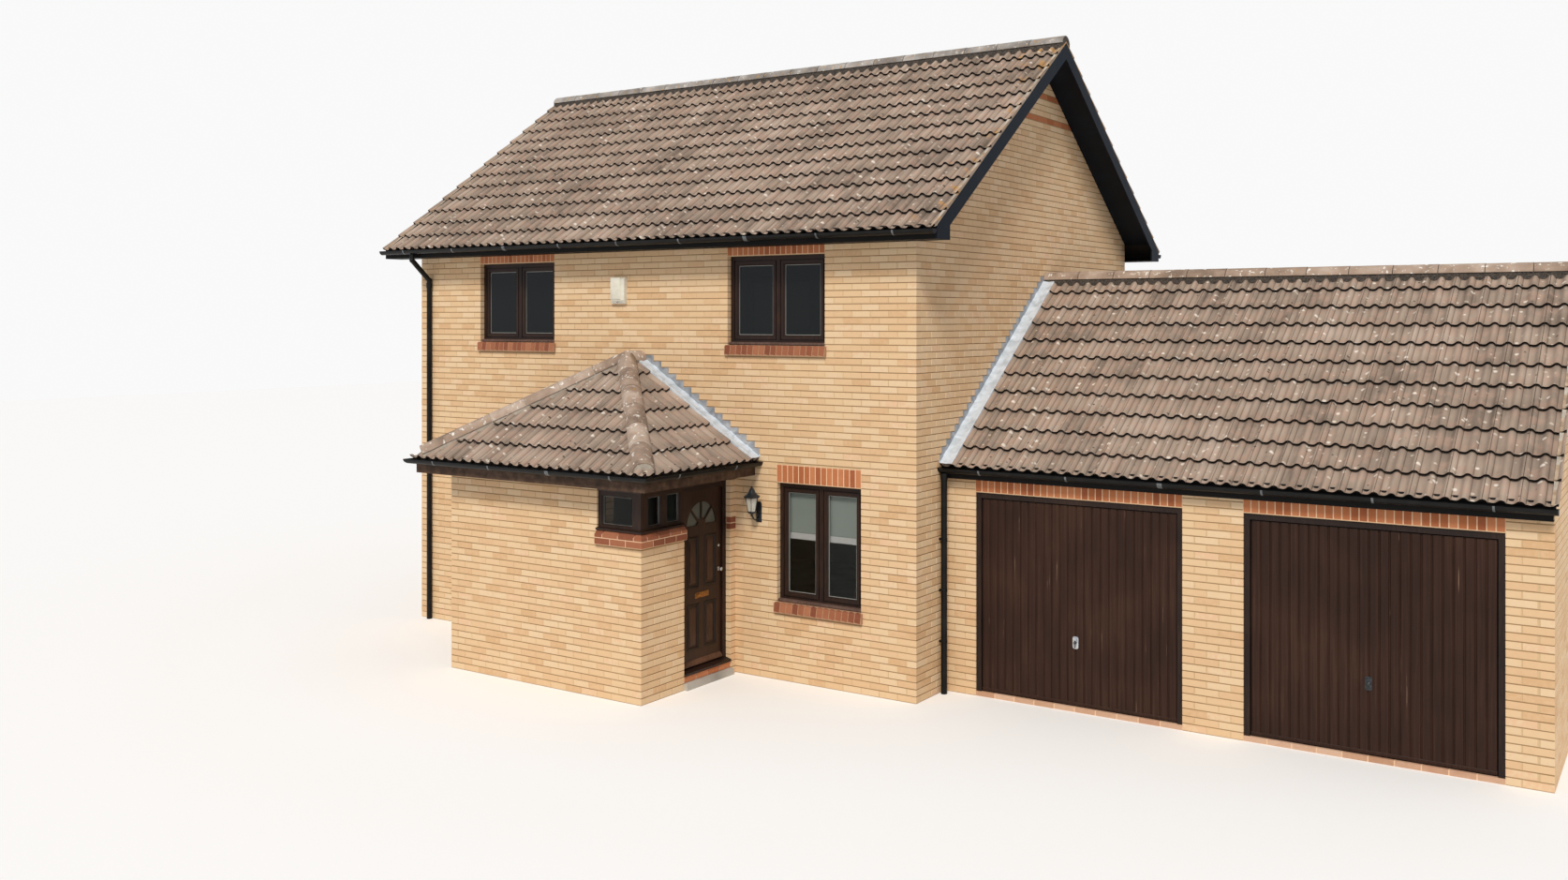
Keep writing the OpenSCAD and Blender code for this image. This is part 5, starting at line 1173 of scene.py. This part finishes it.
main_crown = MAIN_EDGE + MAIN_RUN * math.tan(math.radians(MAIN_PITCH))
garage_crown_z = GARAGE_EDGE + GARAGE_RUN * math.tan(math.radians(GARAGE_PITCH))
porch_crown = apex + Vector((0, 0, PORCH_RUN * math.tan(math.radians(PORCH_PITCH))))
cap_run("main_ridge", Vector((-verge_x, 0, main_crown)), Vector((verge_x, 0, main_crown)), MAIN_PITCH,
        grey_caps, dark_ridge_bedding, 0.28, replaced=["ridge_tiles"])
cap_run("garage_ridge", Vector((garage_x + 0.006, garage_ridge_y, garage_crown_z)),
        Vector((garage_tile_x, garage_ridge_y, garage_crown_z)), GARAGE_PITCH, brown_caps,
        dark_ridge_bedding, 0.28, replaced=["ridge_tiles"])
hip_tangent = math.tan(math.radians(PORCH_PITCH)) / math.sqrt(2)
hip_fall = math.degrees(math.atan(hip_tangent / math.sqrt(1 + hip_tangent ** 2)))
to_wall = Vector((0, 1, 0))
for side, turn_x in (("left", -1), ("right", 1)):
    plan = Vector((turn_x, -1, 0)).normalized()
    reach = PORCH_RUN * math.sqrt(2) - 0.13
    foot = porch_crown + plan * reach - Vector((0, 0, hip_tangent * reach))
    cap_run(f"porch_hip_{side}", porch_crown, foot, hip_fall, brown_caps, bedding, 0.0,
            [(porch_crown, Vector((-turn_x, 0, 0))), (porch_crown, to_wall - plan)],
            replaced=["porch_hip_tiles"])
cap_run("porch_ridge", Vector((porch_x, front_y - 0.006, porch_crown.z)), porch_crown - to_wall * 0.12,
        PORCH_PITCH, brown_caps, bedding, 0.0,
        [(porch_crown, Vector((turn_x, -1, 0)).normalized() - to_wall) for turn_x in (-1, 1)],
        replaced=["porch_hip_tiles"])

# Verges: each tile's edge is bedded on a wedge of mortar over a thin fibre-cement undercloak
verge_pointing = mottled("weathered_verge_mortar", [(0.33, "#8d7862"), (0.5, "#a8927a"), (0.66, "#bda891")],
                         9.0, 6.0, bump=(0.6, 0.003, 140.0, 4.0), Roughness=0.95)
verge_mortar, undercloak = Solids(), Solids()
VERGE_W, CLOAK_TOP, CLOAK_FOOT = 0.06, -0.0365, -0.0425
for slope, courses, sides in ((main_slopes[0], 13, (0, 1)), (main_slopes[1], 13, (0, 1)),
                              (garage_slopes[0], 11, (1,)), (garage_slopes[1], 11, (0,))):
    gauge = slope.length / courses
    for side in sides:
        u0, u1 = (0.003, VERGE_W) if side == 0 else (slope.width - VERGE_W, slope.width - 0.003)
        for j in range(courses):
            a = j * gauge + 0.003
            b = a + gauge * (-CLOAK_TOP - TILE_T) / STEP
            verge_mortar.loft([[slope.point(u, s, h) for s, h in (
                (a, CLOAK_TOP), (b, CLOAK_TOP), (a, -TILE_T - 0.0005))] for u in (u0, u1)])
        u0, u1 = (0.0, VERGE_W) if side == 0 else (slope.width - VERGE_W, slope.width)
        s0, s1 = 0.03, slope.length - 0.02
        undercloak.loft([[slope.point(u, s, h) for s, h in (
            (s0, CLOAK_FOOT), (s1, CLOAK_FOOT), (s1, CLOAK_TOP), (s0, CLOAK_TOP))] for u in (u0, u1)])
verge_mortar.done("verge_bedding", verge_pointing, "house", "ridge_tile")
undercloak.done("verge_undercloak", bedding, "house", "ridge_tile")


# Lead flashings: milled sheet dressed over the tiles against each wall in laps of about half a metre, and
# stepped up the wall into every bed joint. It weathers to pale grey, and darker and bluer on the wall.

# Its soft grey has a dull sheen, clouded at 40 to 200 mm by the white patina
pale_lead, dark_lead = [
    mottled(name, stops, 9.0, 6.0, 0.8, rough=(0.42, 0.75), bump=(0.35, 0.004, 26.0, 2.0), Metallic=0.25)
    for name, stops in (("patinated_lead_sheet", [(0.3, "#b7c0c6"), (0.5, "#cdd5dc"), (0.7, "#dbe3ea")]),
                        ("stepped_lead_sheet", [(0.3, "#7c8187"), (0.5, "#9a9da1"), (0.7, "#b5b6b8")]))]
LEAD_W, LEAD_T = 0.15, 0.0025
aprons, steps = Solids(), Solids()


def lead_run(slope, wall_u, away, s_end, edge_z):
    """Lead up one slope beside a wall at wall_u; away is +1 where the slope runs on from it."""
    laps = max(1, round(s_end / 0.48))
    for i in range(laps):
        a, b = s_end * i / laps - 0.03 * (i > 0), s_end * (i + 1) / laps
        lift = 0.0035
        rings = []
        for s, raised in ((a, lift), (b - 0.02, 0.0005), (b, 0.0)):
            section = [(0.0055, 0.03), (0.009, 0.006), (0.04, 0.0015), (0.08, -0.003), (0.12, 0.001),
                       (LEAD_W - 0.006, 0.0035), (LEAD_W, 0.0), (LEAD_W + 0.001, -0.024)]
            upper = [(d, h + 0.001 + raised) for d, h in section]
            lower = [(d - LEAD_T * (k > 5), h - LEAD_T * (k < 7)) for k, (d, h) in enumerate(upper)]
            rings.append([slope.point(wall_u + away * d, s, h) for d, h in upper + lower[::-1]])
        aprons.loft(rings)
    # the steps follow the bed joints, each plate lapping over the one below
    tangent = math.tan(slope.pitch)
    run_end = s_end * math.cos(slope.pitch)
    first = math.ceil((edge_z + 0.065) / COURSE)
    last = math.ceil((edge_z + run_end * tangent + 0.065) / COURSE)
    inward = Vector((-slope.across.y, slope.across.x, 0.0))
    for k in range(first, last + 1):
        d0 = max(0.0, ((k - 1) * COURSE - 0.065 - edge_z) / tangent)
        d1 = min(run_end, (k * COURSE - 0.065 - edge_z) / tangent)
        if d1 - d0 < 0.01:
            continue
        d2 = min(run_end, d1 + 0.03)
        near = 0.0048 + 0.0012 * (k % 2)
        outline = [(d0, edge_z + d0 * tangent + 0.002), (d2, edge_z + d2 * tangent + 0.002),
                   (d2, k * COURSE - 0.004), (d0, k * COURSE)]
        steps.loft([[slope.corner.xy.to_3d() + slope.across * (wall_u + away * n) + inward * d +
                     Vector((0, 0, z)) for d, z in outline] for n in (near, near + LEAD_T)])


ridge_gap = 0.13
for slope, wall_u, away in ((garage_slopes[0], 0.0, 1), (garage_slopes[1], garage_slopes[1].width, -1)):
    lead_run(slope, wall_u, away, slope.length - ridge_gap, GARAGE_EDGE)
for name, wall_u, away in (("right", porch_depth, -1), ("left", 0.0, 1)):
    lead_run(porch_slopes[name][0], wall_u, away, porch_slopes[name][0].length - ridge_gap, PORCH_EDGE)
cut_closed(aprons.done("lead_aprons", pale_lead, "house", "lead", "lead_flashings"),
           [(Vector((0, 0, main_crown)), Vector((0, 0, 1)))])
cut_closed(steps.done("lead_steps", dark_lead, "house", "lead", "lead_flashings"),
           [(Vector((0, back_y, 0)), Vector((0, 1, 0)))])


# Eaves and verge boards: softwood fascias, soffits and barge boards under near-black gloss paint that has
# gone dull, and the same boards stained red-brown round the porch with the beam over its door and window.

def painted_board(name, tones, gloss):
    """Brushed paint on planed boards: brush lines 3 mm apart along the board, chalked in patches."""
    material, add, shader, place = start_material(name, Roughness=gloss, Specular_IOR_Level=0.14)
    chalk = add("TexNoise", {"Vector": place, "Scale": 3.5, "Detail": 6.0})
    brush = add("Mapping", {"Vector": place, "Scale": (1.5, 1.5, 90.0)})
    lines = add("TexNoise", {"Vector": brush, "Scale": 3.0, "Detail": 3.0})
    mix = add("Mix", {"Factor": 0.35, "A": chalk, "B": lines})
    tint = add("ValToRGB", {"Fac": mix}, tones)
    rough = add("MapRange", {"Value": chalk, "To Min": gloss - 0.1, "To Max": gloss + 0.2})
    bump = add("Bump", {"Strength": 0.2, "Distance": 0.001, "Height": lines})
    plug(shader, {"Base Color": tint, "Roughness": rough, "Normal": bump})
    return material, add, shader, place, tint


finish_nodes(painted_board("dull_black_board_paint", [(0.3, "#080d14"), (0.5, "#0d161f"), (0.7, "#16222d")],
                           0.45)[0], "barge_boards")
eaves_paint, add, shader, place, tint = painted_board("eaves_board_paint", [
    (0.3, "#0a0908"), (0.5, "#11100e"), (0.7, "#1b1916")], 0.5)
# Round the porch, low down and short of the garage, a stain takes the paint's place
where = add("SeparateXYZ", {"Vector": place})
low_down = add("Math", {0: (where, "Z"), 1: 3.0}, operation="LESS_THAN")
not_garage = add("Math", {0: (where, "X"), 1: 3.0}, operation="LESS_THAN")
at_porch = add("Math", {0: low_down, 1: not_garage}, operation="MULTIPLY")
grain = add("TexNoise", {"Vector": place, "Scale": 12.0, "Detail": 5.0})
stain = add("ValToRGB", {"Fac": grain}, [(0.3, "#382a20"), (0.5, "#4c392c"), (0.7, "#5f4a3a")])
board = add("Mix", {"Factor": at_porch, "A": tint, "B": stain}, data_type="RGBA")
plug(shader, {"Base Color": board})
finish_nodes(eaves_paint, "fascias_and_soffits")
finish_nodes(stained_timber("porch_beam_stain", ["#2b1c14", "#3b291f", "#4c382b", "#5e4838"], 0.48),
             "porch_beam")


# Rainwater goods: 112 mm half-round gutters of black extruded plastic, clipped in straps every metre, with
# wider union brackets where two lengths meet, and 68 mm downpipes held off the walls by clips.

# The plastic is glossy where it is clean and dull where dirt has dried on it. Its straps are drawn grey: a
# painted highlight
black_plastic = mottled("black_extruded_plastic", [(0.35, "#080808"), (0.55, "#0f0f0e"), (0.75, "#1b1a18")],
                        7.0, 5.0, rough=(0.25, 0.6), Specular_IOR_Level=0.22)
finish_nodes(black_plastic, "downpipes")
strap_painted_highlight = mottled("scuffed_grey_strap", [(0.3, "#4b4e50"), (0.7, "#75797b")], 30.0, 4.0, Roughness=0.5)

channels, straps = Solids(), Solids()


# Angles down round a half-round section, from its front rim to its back one
ROUND = [-math.pi * i / 16 for i in range(17)]


def half_round(outer, inner, beaded=False):
    """A gutter's or strap's section as (outward, up) points, with or without a bead along its front rim."""
    arcs = [[(r * math.cos(t), r * math.sin(t)) for t in ROUND] for r in (outer, inner)]
    rim = [(outer - 0.0045, 0.0), (outer - 0.0045, -0.004), (inner, -0.0045)] if beaded else []
    return arcs[0] + arcs[1][:0:-1] + (rim[::-1] or arcs[1][:1])


def sweep(solids, profile, path):
    """A section swept level along a path, mitred at its corners; outward is to the right of travel."""
    rings = []
    for i, point in enumerate(path):
        before = (path[i] - path[max(i - 1, 0)]).normalized()
        after = (path[min(i + 1, len(path) - 1)] - path[i]).normalized()
        ways = [Vector((w.y, -w.x, 0)) for w in (before, after) if w.length > 0]
        out = sum(ways, Vector()).normalized()
        out /= out.dot(ways[0])
        rings.append([point + out * a + UP * b for a, b in profile])
    solids.loft(rings)


def hang_gutter(path):
    """One gutter with its stop ends and straps."""
    sweep(channels, half_round(0.0535, 0.051, beaded=True), path)
    for point, other in ((path[0], path[1]), (path[-1], path[-2])):
        way = (other - point).normalized()
        out = Vector((way.y, -way.x, 0)) * (1 if point == path[0] else -1)
        channels.prism([point + out * 0.0515 * math.cos(t) + UP * 0.0515 * math.sin(t) for t in ROUND],
                       way * 0.003)
    for a, b in zip(path, path[1:]):
        length, way = (b - a).length, (b - a).normalized()
        count = max(1, round(length / STRAP_PITCH))
        for i in range(count):
            wide = 0.05 if i % 4 == 2 else 0.02
            middle = a + way * length * (i + 0.5) / count
            sweep(straps, half_round(0.056, 0.0537), [middle - way * wide / 2, middle + way * wide / 2])


# A fascia stands in from the tiles' edge, and the middle of its channel hangs off it, level with the rim
STRAP_PITCH, FASCIA_IN, GUTTER_OFF = 0.98, 0.057, 0.0563
for x0, x1, y, run, rim in ((-verge_x, verge_x, 0.0, MAIN_RUN, 5.042),
                            (garage_x, garage_tile_x, garage_ridge_y, GARAGE_RUN, 2.474)):
    off = run - FASCIA_IN + GUTTER_OFF
    hang_gutter([Vector((x0, y - off, rim)), Vector((x1, y - off, rim))])
    hang_gutter([Vector((x1, y + off, rim)), Vector((x0, y + off, rim))])
off = PORCH_RUN - FASCIA_IN + GUTTER_OFF
corner_y = porch_y + PORCH_RUN - off
hang_gutter([Vector((porch_x + side * off, y, 2.470)) for side, y in (
    (-1, front_y - 0.001), (-1, corner_y), (1, corner_y), (1, front_y - 0.001))])
channels.done("gutter_channels", black_plastic, "house", "black_plastic", "gutters")
straps.done("gutter_straps", strap_painted_highlight, "house", "black_plastic", "gutters")


# The lantern beside the door: a black cast frame with six clear panes, a ribbed roof and a ball finial, on
# a scrolled foot and a tall wall plate screwed to the bricks.

# Enamel over cast metal has a satin sheen, pitted every 6 mm, and the clear panes ripple every 30 mm
cast_black = mottled("cast_black_enamel", [(0.35, "#15171a"), (0.7, "#33383d")], 160.0, 3.0,
                     bump=(0.3, 0.001), Metallic=0.3, Roughness=0.42)
# painted reflection: the clear panes are drawn pale cream and partly opaque, for the sky they reflect
lantern_glass, add, shader, place = start_material("clear_lantern_glass", Base_Color=linear("#d8d4c6"),
                                                   Roughness=0.08, Alpha=0.38)
seed_marks = add("TexNoise", {"Vector": place, "Scale": 30.0})
bump = add("Bump", {"Strength": 0.15, "Distance": 0.002, "Height": seed_marks})
plug(shader, {"Normal": bump})


def tube(solids, points, radii, sides=8):
    """A round bar along points, as thick as its radii."""
    rings = []
    for i, point in enumerate(points):
        way = (points[min(i + 1, len(points) - 1)] - points[max(i - 1, 0)]).normalized()
        one = way.cross(Vector((1, 0, 0)) if abs(way.x) < 0.8 else Vector((0, 1, 0))).normalized()
        two = way.cross(one)
        r = radii[i] if isinstance(radii, list) else radii
        rings.append([point + (one * math.cos(t) + two * math.sin(t)) * r
                      for t in (2 * math.pi * k / sides for k in range(sides))])
    solids.loft(rings)


lamp_low, lamp_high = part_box("lantern")
lamp_x = (lamp_low[0] + lamp_high[0]) / 2
lamp = Vector((lamp_x, front_y - 0.15, lamp_low[2] + 0.092))
iron, panes = Solids(), Solids()
plate_half = 0.038
iron.loft([[Vector((lamp_x + sx * (plate_half - inset), y, z)) for sx, z in (
    (-1, lamp.z - 0.092 + inset * 2), (-0.55, lamp.z - 0.092 + inset), (0.55, lamp.z - 0.092 + inset),
    (1, lamp.z - 0.092 + inset * 2), (1, lamp.z + 0.120 - inset), (0.5, lamp.z + 0.145 - inset),
    (-0.5, lamp.z + 0.145 - inset), (-1, lamp.z + 0.120 - inset))] for y, inset in (
    (front_y, 0.0), (front_y - 0.009, 0.0), (front_y - 0.014, 0.008))])
bend = [Vector((lamp_x, front_y - 0.012 - 0.138 * t,
                lamp.z - 0.045 - 0.036 * math.sin(math.pi * t) + 0.045 * t))
        for t in (i / 10 for i in range(11))]
tube(iron, bend, [0.011 - 0.003 * math.sin(math.pi * i / 10) for i in range(11)])
scroll = [Vector((lamp_x, front_y - 0.040 - 0.026 * math.cos(a) * (1 - a / 9.0),
                  lamp.z - 0.012 + 0.026 * math.sin(a) * (1 - a / 9.0)))
          for a in (i * 0.45 for i in range(15))]
tube(iron, scroll, 0.0045, 6)
lathe(iron, lamp - UP * 0.006, (0, 0, 1), [(0, 0.006), (0.002, 0.016), (0.012, 0.012), (0.022, 0.014),
                                            (0.036, 0.044), (0.043, 0.048)], 12)


def hexagon(radius, height):
    return [lamp + Vector((radius * math.cos(t), radius * math.sin(t), height))
            for t in (math.pi / 3 * i for i in range(6))]


BODY_LOW, BODY_HIGH = 0.036, 0.212
iron.loft([hexagon(r, BODY_LOW + z) for r, z in (
    (0.049, 0.0), (0.051, 0.004), (0.050, 0.012), (0.030, 0.013))])
iron.loft([hexagon(r, BODY_HIGH + z) for r, z in (
    (0.074, -0.010), (0.092, -0.009), (0.104, 0.0), (0.102, 0.006), (0.072, 0.022), (0.042, 0.052),
    (0.030, 0.082), (0.026, 0.084), (0.025, 0.098), (0.012, 0.102))])
for i in range(6):
    low_corner, high_corner = hexagon(0.048, BODY_LOW + 0.006)[i], hexagon(0.076, BODY_HIGH - 0.004)[i]
    tube(iron, [low_corner, high_corner], 0.0035, 6)
    tube(iron, [hexagon(r, BODY_HIGH + z)[i] for r, z in ((0.101, 0.006), (0.072, 0.022), (0.042, 0.052),
                                                           (0.030, 0.082))], 0.003, 6)
lathe(iron, lamp + UP * (BODY_HIGH + 0.100), (0, 0, 1), [
    (0.0, 0.008), (0.004, 0.006), (0.008, 0.013), (0.014, 0.0155), (0.019, 0.012), (0.0235, 0.004)], 14)
panes.loft([hexagon(r, z) for r, z in ((0.047, BODY_LOW + 0.010), (0.0745, BODY_HIGH - 0.008),
                                       (0.0725, BODY_HIGH - 0.008), (0.045, BODY_LOW + 0.010))], closed=True)
bulb = Solids()
lathe(bulb, lamp + UP * (BODY_LOW + 0.012), (0, 0, 1), [
    (0.0, 0.012), (0.028, 0.013), (0.036, 0.012), (0.050, 0.019), (0.068, 0.026), (0.086, 0.026),
    (0.100, 0.018), (0.108, 0.006)], 16)
iron.done("lantern_frame", cast_black, "house", "black_metal", "lantern")
panes.done("lantern_panes", lantern_glass, "house", "glass", "lantern")
bulb.done("lantern_bulb", blind_bar, "house", "glass", "lantern")

# The bell box between the upper windows is cream moulded plastic that has yellowed: a base
# with a raised cover over its left part, two louvres and a black screw cap
cream_plastic = mottled("yellowed_cream_plastic", [(0.3, "#cec8b5"), (0.5, "#d9d4c3"), (0.7, "#e2decf")],
                        9.0, 5.0, Roughness=0.45)
finish_nodes(cream_plastic, "alarm_box")
bell_low, bell_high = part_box("alarm_box")
bell = Solids()
bell_face = bell_low[1]
seam_x = bell_low[0] + 0.72 * (bell_high[0] - bell_low[0])
COVER_IN, COVER_LIFT = 0.004, 0.055
cover_corner = Vector((bell_low[0] + COVER_IN, bell_face, bell_low[2] + COVER_LIFT))
cover_w, cover_h = seam_x - cover_corner.x, bell_high[2] - COVER_IN - cover_corner.z
bell.loft([rectangle(cover_corner, Vector((1, 0, 0)), UP, cover_w, cover_h, rim, off)
           for off, rim in ((-0.001, 0.0), (0.008, 0.0), (0.012, 0.006))])
for z in (bell_low[2] + 0.030, bell_low[2] + 0.038):
    bell.box((bell_low[0] + 0.03, bell_face - 0.0022, z),
             (bell_high[0] - 0.03, bell_face + 0.001, z + 0.003))
bell.done("alarm_box_cover", cream_plastic, "house", "cream_plastic")
bell_screw = Solids()
lathe(bell_screw, ((bell_low[0] + bell_high[0]) / 2, bell_face - 0.003, bell_low[2] + 0.016), (0, 1, 0),
      [(0, 0.006), (0.001, 0.0075), (0.0035, 0.0075)], 12)
bell_screw.done("alarm_box_screw", black_plastic, "house", "black_plastic")


# Garage doors: one-piece ribbed steel sheets in a dark brown coat that has been rubbed and scratched down
# the ribs, in stained timber frames. They swing up and over on two steel arms a side.

# The coat is satin and fades in patches, with pale scratches drawn out down the ribs
door_steel, add, shader, place = start_material("brown_coated_steel", Roughness=0.5, Specular_IOR_Level=0.2)
down = add("Mapping", {"Vector": place, "Scale": (70.0, 70.0, 1.6)})
rub = add("TexNoise", {"Vector": down, "Scale": 1.0, "Detail": 3.0})
fade = add("TexNoise", {"Vector": place, "Scale": 1.4, "Detail": 4.0})
mix = add("Mix", {"Factor": 0.5, "A": fade, "B": rub})
tint = add("ValToRGB", {"Fac": mix}, [(0.34, "#26150d"), (0.5, "#311d13"), (0.66, "#3e281b")])
scratch = add("MapRange", {"Value": rub, "From Min": 0.735, "From Max": 0.76, "To Max": 0.6})
coat = add("Mix", {"Factor": scratch, "A": tint, "B": linear("#8d7361")}, data_type="RGBA")
rough = add("MapRange", {"Value": fade, "To Min": 0.36, "To Max": 0.66})
plug(shader, {"Base Color": coat, "Roughness": rough})
finish_nodes(door_steel, "garage_door_left", "garage_door_right")
finish_nodes(stained_timber("garage_frame_stain", ["#160c08", "#1f120c", "#2a1a12", "#37241a"], 0.55),
             "garage_door_frames")
# The arms' zinc plating is bright but clouded. Both cast grips are dark, and the right plate is dark too
gear_steel = mottled("zinc_plated_steel", [(0.3, "#7c7f80"), (0.7, "#aaadad")], 25.0, 5.0,
                     rough=(0.3, 0.6), Metallic=0.8)
finish_nodes(gear_steel, "garage_arms_left", "garage_arms_right")
dark_cast = mottled("dark_cast_handle", [(0.35, "#202224"), (0.7, "#45484b")], 70.0, 3.0, Metallic=0.4,
                    Roughness=0.4)

for side, metal, slot in (("left", bright_steel, "bright_handle"), ("right", dark_cast, "dark_handle")):
    low, high = max(solid_boxes(f"garage_door_{side}"), key=lambda box: box[1].x - box[0].x)
    rail = Solids()
    rail.prism([(low.x + 0.002, low.y + y, low.z + z) for y, z in (
        (0.010, 0.002), (-0.004, 0.004), (-0.004, 0.030), (0.001, 0.037), (0.010, 0.037))],
        (high.x - low.x - 0.004, 0, 0))
    rail.done(f"garage_door_rail_{side}", door_steel, f"garage_panel_{side}", "door_steel")
    low, high = (Vector(c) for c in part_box(f"garage_handle_{side}"))
    middle_x = (low.x + high.x) / 2
    face = high.y
    plate, handle = Solids(), Solids()
    half_w, half_h = (high.x - low.x) / 2, (high.z - low.z) / 2
    middle_z = (low.z + high.z) / 2
    rings = []
    for y, inset in ((face, 0.0), (face - 0.003, 0.0), (face - 0.0045, 0.003)):
        ring = []
        for cx, cz, a0 in ((1, 1, 0), (-1, 1, 90), (-1, -1, 180), (1, -1, 270)):
            for a in (a0, a0 + 30, a0 + 60, a0 + 90):
                t = math.radians(a)
                ring.append(Vector((middle_x + cx * (half_w - 0.02) + (0.02 - inset) * math.cos(t), y,
                                    middle_z + cz * (half_h - 0.02) + (0.02 - inset) * math.sin(t))))
        rings.append(ring)
    plate.loft(rings)
    plate.done(f"garage_handle_plate_{side}", metal, f"garage_panel_{side}", slot)
    lathe(handle, (middle_x, face, middle_z), (0, -1, 0), [
        (0.003, 0.017), (0.008, 0.015), (0.011, 0.010), (0.022, 0.009), (0.024, 0.013), (0.030, 0.013),
        (0.033, 0.009)], 16)
    grip = [Vector((middle_x, low.y + 0.006 + 0.003 * (2 * t - 1) ** 2, middle_z - 0.053 + 0.08 * t))
            for t in (i / 8 for i in range(9))]
    tube(handle, grip, [0.0045, 0.0058, 0.006, 0.0058, 0.006, 0.006, 0.006, 0.0058, 0.0045], 10)
    handle.done(f"garage_t_handle_{side}", dark_cast, f"garage_panel_{side}", "dark_handle",
                f"garage_handle_{side}")


# Floors: concrete slabs cast on the ground and finished with a float, and softwood boards 140 mm wide,
# laid side by side over the upper floor.

# Floated concrete is matt and cloudy, and the boards show a grain about 15 mm apart along their length
concrete = mottled("floated_concrete", [(0.3, "#8f8b83"), (0.5, "#a5a098"), (0.7, "#b5b0a7")], 2.2, 7.0, 0.6,
                   bump=(0.3, 0.001, 120.0, 3.0), Roughness=0.85)
finish_nodes(concrete, "ground_slab", "porch_slab", "garage_slab", "front_step")
boards, add, shader, place = start_material("softwood_floor_boards", Roughness=0.6)
planks = add("TexBrick", {"Vector": place, "Scale": 1.0, "Color1": linear("#a98358"),
                          "Color2": linear("#b9946a"), "Mortar": linear("#4a3825"), "Mortar Size": 0.0015,
                          "Brick Width": 2.4, "Row Height": 0.14})
grain = add("Mapping", {"Vector": place, "Scale": (2.0, 45.0, 45.0)})
figure = add("TexNoise", {"Vector": grain, "Scale": 1.5, "Detail": 5.0})
tone = add("MapRange", {"Value": figure, "To Min": 0.7, "To Max": 1.15})
wood = add("Mix", {"Factor": 1.0, "A": planks, "B": tone}, data_type="RGBA", blend_type="MULTIPLY")
plug(shader, {"Base Color": wood})
finish_nodes(boards, "first_floor")


# The studio: a plain matt white floor under an even, faintly blue sky, which the camera itself sees as
# white, and one wide soft key light from the front right.

paper = start_material("matt_white_floor", Base_Color=linear("#f4f4f2"), Roughness=0.95)[0]
REACH = 60.0
new_piece("floor", [(-REACH, -REACH, 0), (REACH, -REACH, 0), (REACH, REACH, 0), (-REACH, REACH, 0)],
                   [(0, 1, 2, 3)], paper)
world = bpy.data.worlds.new("studio")
bpy.context.scene.world = world
world.use_nodes = True
add = adder(world.node_tree)
ray = add("LightPath")
seen = add("Background", {"Color": linear("#ffffff"), "Strength": 0.95})
fill = add("Background", {"Color": linear("#f2f5ff"), "Strength": 0.55})
both = add("MixShader", {0: (ray, "Is Camera Ray"), 1: fill, 2: seen})
plug(world.node_tree.nodes["World Output"], {"Surface": both})
sun_data = bpy.data.lights.new("key", "SUN")
sun_data.energy = 2.6
sun_data.angle = math.radians(14.0)
sun_data.color = linear("#fff9f0")[:3]
sun = bpy.data.objects.new("key", sun_data)
sun.rotation_euler = Vector((0.35, -0.8, 0.9)).to_track_quat("Z", "Y").to_euler()
bpy.context.scene.collection.objects.link(sun)
bpy.context.scene.view_settings.view_transform = "Standard"
